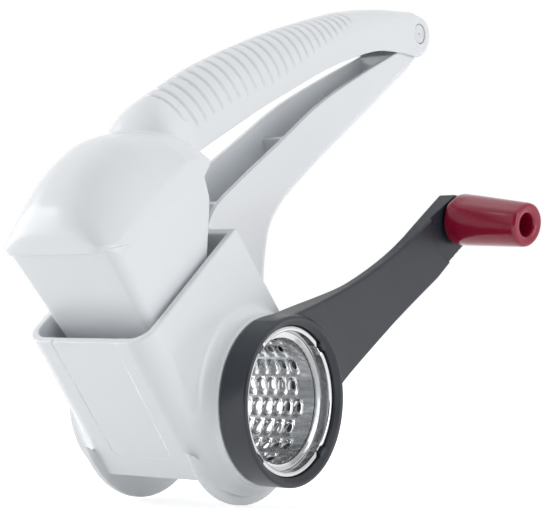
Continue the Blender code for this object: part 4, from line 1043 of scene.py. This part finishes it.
def drum_mesh(sizes):
    """Perforated sheet: every hole has a raised, dished rim and a cutting lip."""
    bm = bmesh.new()
    layers = {"outer": DRUM_RADIUS, "inner": DRUM_RADIUS - SHEET}
    columns, rows, fine = sizes.columns, sizes.rows, TURN_PARTS
    halves = 2 * columns + 1
    first = DRUM_END - HOLE_PITCH - halves * HOLE_PITCH / 2.0
    row_turn = 2.0 * pi / rows
    total = rows * fine
    grid = {}
    for layer, r in layers.items():
        for step in range(total):
            row, part = divmod(step, fine)
            turn = (row + part / fine) * row_turn
            for k in range(halves + 1):
                if part == 0 or k in (0, halves) or (k + row) % 2 == 0:
                    grid[layer, step, k] = bm.verts.new(
                        drum_point(first + k * HOLE_PITCH / 2.0, turn, r))
            for end, x in (("start", DRUM_START), ("end", DRUM_END)):
                grid[layer, step, end] = bm.verts.new(drum_point(x, turn, r))

    def strip(layer, step, near, far):
        """Face between two columns of the grid, one step around."""
        ahead = (step + 1) % total
        corners = [grid[layer, step, near], grid[layer, step, far],
                   grid[layer, ahead, far], grid[layer, ahead, near]]
        bm.faces.new(corners if layer == "outer" else corners[::-1])

    def border(layer, row, k):
        """Corners around a hole's patch, from its far edge round by the start side."""
        above, below = (row + 1) % rows * fine, row * fine
        corners = [(above, k + 2), (above, k + 1), (above, k)]
        corners += [(below + part, k) for part in range(fine - 1, 0, -1)]
        corners += [(below, k), (below, k + 1), (below, k + 2)]
        corners += [(below + part, k + 2) for part in range(1, fine)]
        return [grid[(layer, *corner)] for corner in corners]

    def hole(row, column):
        """Both faces of the sheet around a hole, and the edge of the hole between them."""
        k = 2 * column + row % 2
        centre_x = first + (k + 1) * HOLE_PITCH / 2.0
        middle = (row + 0.5) * row_turn
        rims = []
        for layer, base in layers.items():
            previous = border(layer, row, k)
            angles = hole_angles(previous, centre_x, middle)
            for size, height in zip(HOLE_SPREAD, HOLE_LIFT):
                ring = [
                    bm.verts.new(hole_point(sizes, angle, size, height, centre_x, middle, base))
                    for angle in angles]
                for i in range(len(ring)):
                    j = (i + 1) % len(ring)
                    corners = [previous[i], previous[j], ring[j], ring[i]]
                    bm.faces.new(corners if layer == "outer" else corners[::-1])
                previous = ring
            rims.append(previous)
        for i in range(len(rims[0])):
            j = (i + 1) % len(rims[0])
            bm.faces.new((rims[0][i], rims[0][j], rims[1][j], rims[1][i]))

    for row in range(rows):
        spare = 0 if row % 2 else halves - 1
        for layer in layers:
            for step in range(row * fine, (row + 1) * fine):
                for near, far in (("start", 0), (halves, "end")):
                    strip(layer, step, near, far)
            for step in range(row * fine, (row + 1) * fine):
                strip(layer, step, spare, spare + 1)
        for column in range(columns):
            hole(row, column)
    for end in ("start", "end"):
        for step in range(total):
            ahead = (step + 1) % total
            bm.faces.new((
                grid["outer", step, end], grid["outer", ahead, end],
                grid["inner", ahead, end], grid["inner", step, end]))
    bmesh.ops.recalc_face_normals(bm, faces=bm.faces)
    return bm


def flange_mesh():
    """Pressed ring at the drum's open end: web, neck and a flange notched in four places."""
    steps = 192
    notch_half, notch_floor = 2.6, 22.98
    profile = [
        (34.6, 20.25), (34.6, 22.2), (34.8, 22.7), (35.3, 22.9), (38.2, 22.9), (38.5, 23.05),
        (38.6, 23.3), (38.6, 23.8), (38.75, 24.0), (39.05, 24.0), (39.2, 23.8), (39.2, 22.9),
        (39.05, 22.55), (38.7, 22.35), (35.6, 22.3), (35.35, 22.2), (35.2, 21.9), (35.2, 20.25)]
    rings = []
    for i in range(steps):
        turn = 2.0 * pi * (i + 0.5) / steps
        dip = float(ease(notch_half - abs(to_quarter(turn)) * 23.0, 0.0, 1.4))
        ring = []
        for x, r in profile:
            if x > 38.1 and r > 22.4:
                x = x - 0.5 * dip
            if r > 22.95:
                r = r + (notch_floor - r) * dip
            ring.append(drum_point(x, turn, r))
        rings.append(ring)
    return ring_mesh(rings)


def turned_mesh(profile, steps, centre=(0.0, 0.0)):
    """A closed ring turned about the x direction from (x, radius) points in millimetres."""
    rings = []
    for i in range(steps):
        turn = 2.0 * pi * i / steps
        rings.append([(
            AXIS.x + x * MM, AXIS.y + (centre[0] + r * cos(turn)) * MM,
            AXIS.z + (centre[1] + r * sin(turn)) * MM) for x, r in profile])
    return ring_mesh(rings)


# Operators

class GRATER_OT_body(bpy.types.Operator):
    """Build the white body moulding: hopper, collars, side plates and lower handle"""

    bl_idname = "grater.body"
    bl_label = "Body moulding"

    def execute(self, context):
        piece = moulded(
            "body_moulding", body_form(context.scene.grater_body), (-34.0, -68.0, -37.0),
            (34.0, 138.0, 145.0), 0.55, 0.42, white_plastic(), "body")
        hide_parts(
            "hopper", "left_side_plate", "right_side_plate", "left_collar", "right_collar",
            "lower_handle")
        return {"FINISHED"}


class GRATER_OT_lever(bpy.types.Operator):
    """Build the press lever with its grooves, hood and press box"""

    bl_idname = "grater.lever"
    bl_label = "Press lever"

    def execute(self, context):
        piece = moulded(
            "press_lever_moulding", lever_form(context.scene.grater_lever), (-25.0, -73.0, 15.0),
            (25.0, 140.0, 148.0), 0.5, 0.5, white_plastic(), "lever")
        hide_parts("press_lever", "press_box")
        return {"FINISHED"}


class GRATER_OT_pins(bpy.types.Operator):
    """Build the hinge pin with its head and cap"""

    bl_idname = "grater.pins"
    bl_label = "Hinge pin"

    def execute(self, context):
        outer = lever_half(HINGE[0])
        seat, head = outer - 0.9, outer - 0.25
        pin_profile = [
            (-seat, 0.4), (-seat, 2.5), (seat, 2.5), (seat, 3.4), (head - 0.6, 3.6),
            (head - 0.2, 3.5), (head, 3.1), (head + 0.05, 2.0), (head - 0.25, 1.6),
            (head - 0.3, 0.4)]
        cap_profile = [
            (-head, 0.5), (-head - 0.02, 2.6), (-head + 0.2, 3.4), (-head + 0.6, 3.6),
            (-seat - 0.02, 3.6), (-seat - 0.02, 0.5)]
        for name, profile, node in (
                ("hinge_pin_turned", pin_profile, "hinge_pin"),
                ("hinge_cap_turned", cap_profile, "hinge_pin_cap")):
            piece = finish_piece(
                name, turned_mesh(profile, 64, HINGE), white_pin(), "lever", 35)
            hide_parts(node)
        return {"FINISHED"}


def white_pin():
    """The pin's pale plastic, a little greyer than the lever."""
    found = bpy.data.materials.get("pin_plastic")
    if found:
        return found
    white = bpy.context.scene.grater_finish.white
    pale, shade = [tuple(part * level for part in white) for level in (0.96, 0.92)]
    return moulded_plastic("pin_plastic", pale, shade, 0.3, 0.1)


class GRATER_OT_drum(bpy.types.Operator):
    """Build the perforated drum with its flange and end ring"""

    bl_idname = "grater.drum"
    bl_label = "Grating drum"

    def execute(self, context):
        steel = steel_sheet()
        drum = finish_piece(
            "drum_sheet", drum_mesh(context.scene.grater_drum), steel, "crank", 38)
        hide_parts(*[f"drum_strip_{number}" for number in range(1, 10)])
        flange = finish_piece("drum_flange_pressed", flange_mesh(), steel, "crank", 40)
        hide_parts("drum_flange")
        ring_profile = [
            (-24.0, 20.75), (-24.0, 21.8), (-23.7, 22.15), (-23.2, 22.2), (-20.8, 22.2),
            (-20.3, 22.1), (-20.0, 21.8), (-20.0, 20.75)]
        ring = finish_piece("drum_end_rolled", turned_mesh(ring_profile, 160), steel, "crank", 40)
        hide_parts("drum_end_ring")
        return {"FINISHED"}


class GRATER_OT_crank(bpy.types.Operator):
    """Build the slate crank with its ring and arm"""

    bl_idname = "grater.crank"
    bl_label = "Crank"

    def execute(self, context):
        slate = slate_plastic()
        piece = moulded(
            "crank_moulding", crank_form(context.scene.grater_crank), (24.0, -30.0, -30.0),
            (52.0, 104.0, 76.0), 0.45, 0.5, slate, "crank")
        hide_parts("crank_arm")
        return {"FINISHED"}


class GRATER_OT_knob(bpy.types.Operator):
    """Build the crimson knob, and finish its spindle and screw"""

    bl_idname = "grater.knob"
    bl_label = "Knob"

    def execute(self, context):
        crimson = context.scene.grater_finish.crimson
        shade = (crimson[0] * 0.86, crimson[1], crimson[2] * 1.05)  # a little duller and cooler
        finish = moulded_plastic("crimson_moulding", tuple(crimson), shade, 0.17, 0.08)
        piece = finish_piece(
            "knob_moulding", knob_mesh(context.scene.grater_crank.knob_crease), finish, "knob", 50)
        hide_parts("knob")
        for node in ("knob_spindle", "knob_screw"):
            metal = frame["nodes"][node]
            for holder in metal.material_slots:
                holder.material = steel_sheet()
        return {"FINISHED"}


class GRATER_OT_stage(bpy.types.Operator):
    """Set up the camera, the lamps, the floor and the background"""

    bl_idname = "grater.stage"
    bl_label = "Stage"

    def execute(self, context):
        scene = context.scene
        settings = scene.grater_stage
        place_camera(scene, settings)
        place_lamps(settings)
        place_world(scene, settings)
        place_floor()
        scene.view_settings.view_transform = "Standard"
        return {"FINISHED"}


CAMERA_PLACE = (370.65, -471.41, 33.09)  # from the drum's axis
PICTURE_WIDTH = 550.0
PICTURE_SHIFT = (275.0 - 277.4, 254.1 - 254.0)
MIDDLE = (0.0, 0.0, 0.09)


def place_camera(scene, settings):
    """Camera at the photograph's viewing angle."""
    data = bpy.data.cameras.new("camera")
    camera = bpy.data.objects.new("camera", data)
    bpy.context.collection.objects.link(camera)
    azimuth, elevation = settings.azimuth, settings.elevation
    back = Vector((sin(azimuth) * cos(elevation), -cos(azimuth) * cos(elevation), sin(elevation)))
    camera.location = AXIS + Vector(CAMERA_PLACE) * MM
    camera.rotation_mode = "QUATERNION"
    camera.rotation_quaternion = (-back).to_track_quat("-Z", "Y")
    data.sensor_width = 36.0
    data.lens = settings.lens
    data.shift_x, data.shift_y = [shift / PICTURE_WIDTH for shift in PICTURE_SHIFT]
    data.clip_start = 0.01
    data.clip_end = 20.0
    scene.camera = camera


def add_lamp(name, place, size, power):
    """A square soft lamp that faces the object's middle."""
    data = bpy.data.lights.new(name, "AREA")
    data.shape = "RECTANGLE"
    data.size = data.size_y = size
    data.energy = power
    lamp = bpy.data.objects.new(name, data)
    lamp.location = place
    lamp.rotation_mode = "QUATERNION"
    lamp.rotation_quaternion = (Vector(MIDDLE) - Vector(place)).to_track_quat("-Z", "Y")
    bpy.context.collection.objects.link(lamp)


def place_lamps(settings):
    """Soft lamps at the left and the right, and a weak one above."""
    add_lamp("key_lamp", (-0.9, -0.55, 0.35), 0.8, settings.key)
    add_lamp("side_lamp", (1.0, -0.05, 0.2), 0.9, settings.key * 0.8)
    add_lamp("top_lamp", (-0.1, 0.3, 1.0), 0.7, settings.key * 0.08)


def math_node(nodes, links, operation, first, second):
    """One step of arithmetic on two values, each another node's output or a number."""
    node = nodes.new("ShaderNodeMath")
    node.operation = operation
    for socket, value in zip(node.inputs, (first, second)):
        if isinstance(value, float):
            socket.default_value = value
        else:
            links.new(value, socket)
    return node.outputs["Value"]


def place_world(scene, settings):
    """Light from all sides but the camera's, with a white background behind the object."""
    dark_from, dark_to, dark_share = 0.45, 0.9, 0.1
    world = bpy.data.worlds.new("studio")
    world.use_nodes = True
    nodes, links = world.node_tree.nodes, world.node_tree.links
    background = nodes["Background"]
    background.inputs["Color"].default_value = (1.0, 1.0, 1.0, 1.0)
    place = nodes.new("ShaderNodeTexCoord")
    toward = nodes.new("ShaderNodeVectorMath")
    toward.operation = "DOT_PRODUCT"
    toward.inputs[1].default_value = (sin(settings.azimuth), -cos(settings.azimuth), 0.0)
    links.new(place.outputs["Generated"], toward.inputs[0])
    shade = nodes.new("ShaderNodeMapRange")
    shade.interpolation_type = "SMOOTHSTEP"
    for name, value in (
            ("From Min", dark_from), ("From Max", dark_to), ("To Min", settings.fill),
            ("To Max", settings.fill * dark_share)):
        shade.inputs[name].default_value = value
    links.new(toward.outputs["Value"], shade.inputs["Value"])
    path = nodes.new("ShaderNodeLightPath")
    lift = math_node(
        nodes, links, "MULTIPLY", path.outputs["Is Glossy Ray"], 1.0 / settings.fill - 1.0)
    lift = math_node(nodes, links, "ADD", lift, 1.0)
    lit = math_node(nodes, links, "MULTIPLY", shade.outputs["Result"], lift)
    seen = math_node(
        nodes, links, "MAXIMUM", path.outputs["Is Camera Ray"], path.outputs["Is Transmission Ray"])
    level = nodes.new("ShaderNodeMix")
    level.data_type = "FLOAT"
    level.inputs["B"].default_value = 1.0
    links.new(seen, level.inputs["Factor"])
    links.new(lit, level.inputs["A"])
    links.new(level.outputs["Result"], background.inputs["Strength"])
    scene.world = world


def place_floor():
    """Plain white floor that the object's shadow falls on, white to the camera and in metal."""
    bm = bmesh.new()
    bmesh.ops.create_grid(bm, x_segments=8, y_segments=8, size=4.0)
    mesh = bpy.data.meshes.new("floor")
    bm.to_mesh(mesh)
    bm.free()
    floor = bpy.data.objects.new("floor", mesh)
    floor.location = (0.0, 0.0, -0.0005)
    bpy.context.collection.objects.link(floor)
    made, nodes, links, shader = shader_nodes("floor_white")
    shader.inputs["Base Color"].default_value = (0.90, 0.90, 0.90, 1.0)
    shader.inputs["Roughness"].default_value = 0.9
    shader.inputs["Specular IOR Level"].default_value = 0.0
    shader.inputs["Emission Color"].default_value = (1.0, 1.0, 1.0, 1.0)
    path = nodes.new("ShaderNodeLightPath")
    seen = path.outputs["Is Camera Ray"]
    for kind in ("Is Glossy Ray", "Is Transmission Ray"):
        seen = math_node(nodes, links, "MAXIMUM", seen, path.outputs[kind])
    links.new(math_node(nodes, links, "MULTIPLY", seen, 0.62), shader.inputs["Emission Strength"])
    mesh.materials.append(made)


class GRATER_PT_panel(bpy.types.Panel):
    """Sizes, colours and builders of the drum grater"""

    bl_label = "Drum Grater"
    bl_idname = "GRATER_PT_panel"
    bl_space_type = "VIEW_3D"
    bl_region_type = "UI"
    bl_category = "Grater"

    def draw(self, context):
        layout = self.layout
        for settings, operators in (
                ("grater_body", ("grater.body",)),
                ("grater_lever", ("grater.lever", "grater.pins")),
                ("grater_drum", ("grater.drum",)),
                ("grater_crank", ("grater.crank", "grater.knob")),
                ("grater_finish", ()),
                ("grater_stage", ("grater.stage",))):
            box = layout.box()
            group = getattr(context.scene, settings)
            for name in group.bl_rna.properties.keys():
                if name not in ("rna_type", "name"):
                    box.prop(group, name)
            for operator in operators:
                box.operator(operator)


GROUPS = {
    "grater_body": GRATER_PG_body,
    "grater_lever": GRATER_PG_lever,
    "grater_drum": GRATER_PG_drum,
    "grater_crank": GRATER_PG_crank,
    "grater_finish": GRATER_PG_finish,
    "grater_stage": GRATER_PG_stage,
}
OPERATORS = (
    GRATER_OT_body, GRATER_OT_lever, GRATER_OT_pins, GRATER_OT_drum, GRATER_OT_crank,
    GRATER_OT_knob, GRATER_OT_stage)


def register():
    for name, group in GROUPS.items():
        bpy.utils.register_class(group)
        setattr(bpy.types.Scene, name, PointerProperty(type=group))
    for operator in OPERATORS:
        bpy.utils.register_class(operator)
    bpy.utils.register_class(GRATER_PT_panel)


def unregister():
    bpy.utils.unregister_class(GRATER_PT_panel)
    for operator in reversed(OPERATORS):
        bpy.utils.unregister_class(operator)
    for name, group in reversed(GROUPS.items()):
        delattr(bpy.types.Scene, name)
        bpy.utils.unregister_class(group)


def main():
    register()
    for operator in (
            bpy.ops.grater.body, bpy.ops.grater.lever, bpy.ops.grater.pins, bpy.ops.grater.drum,
            bpy.ops.grater.crank, bpy.ops.grater.knob, bpy.ops.grater.stage):
        operator()


if __name__ == "__main__":
    main()
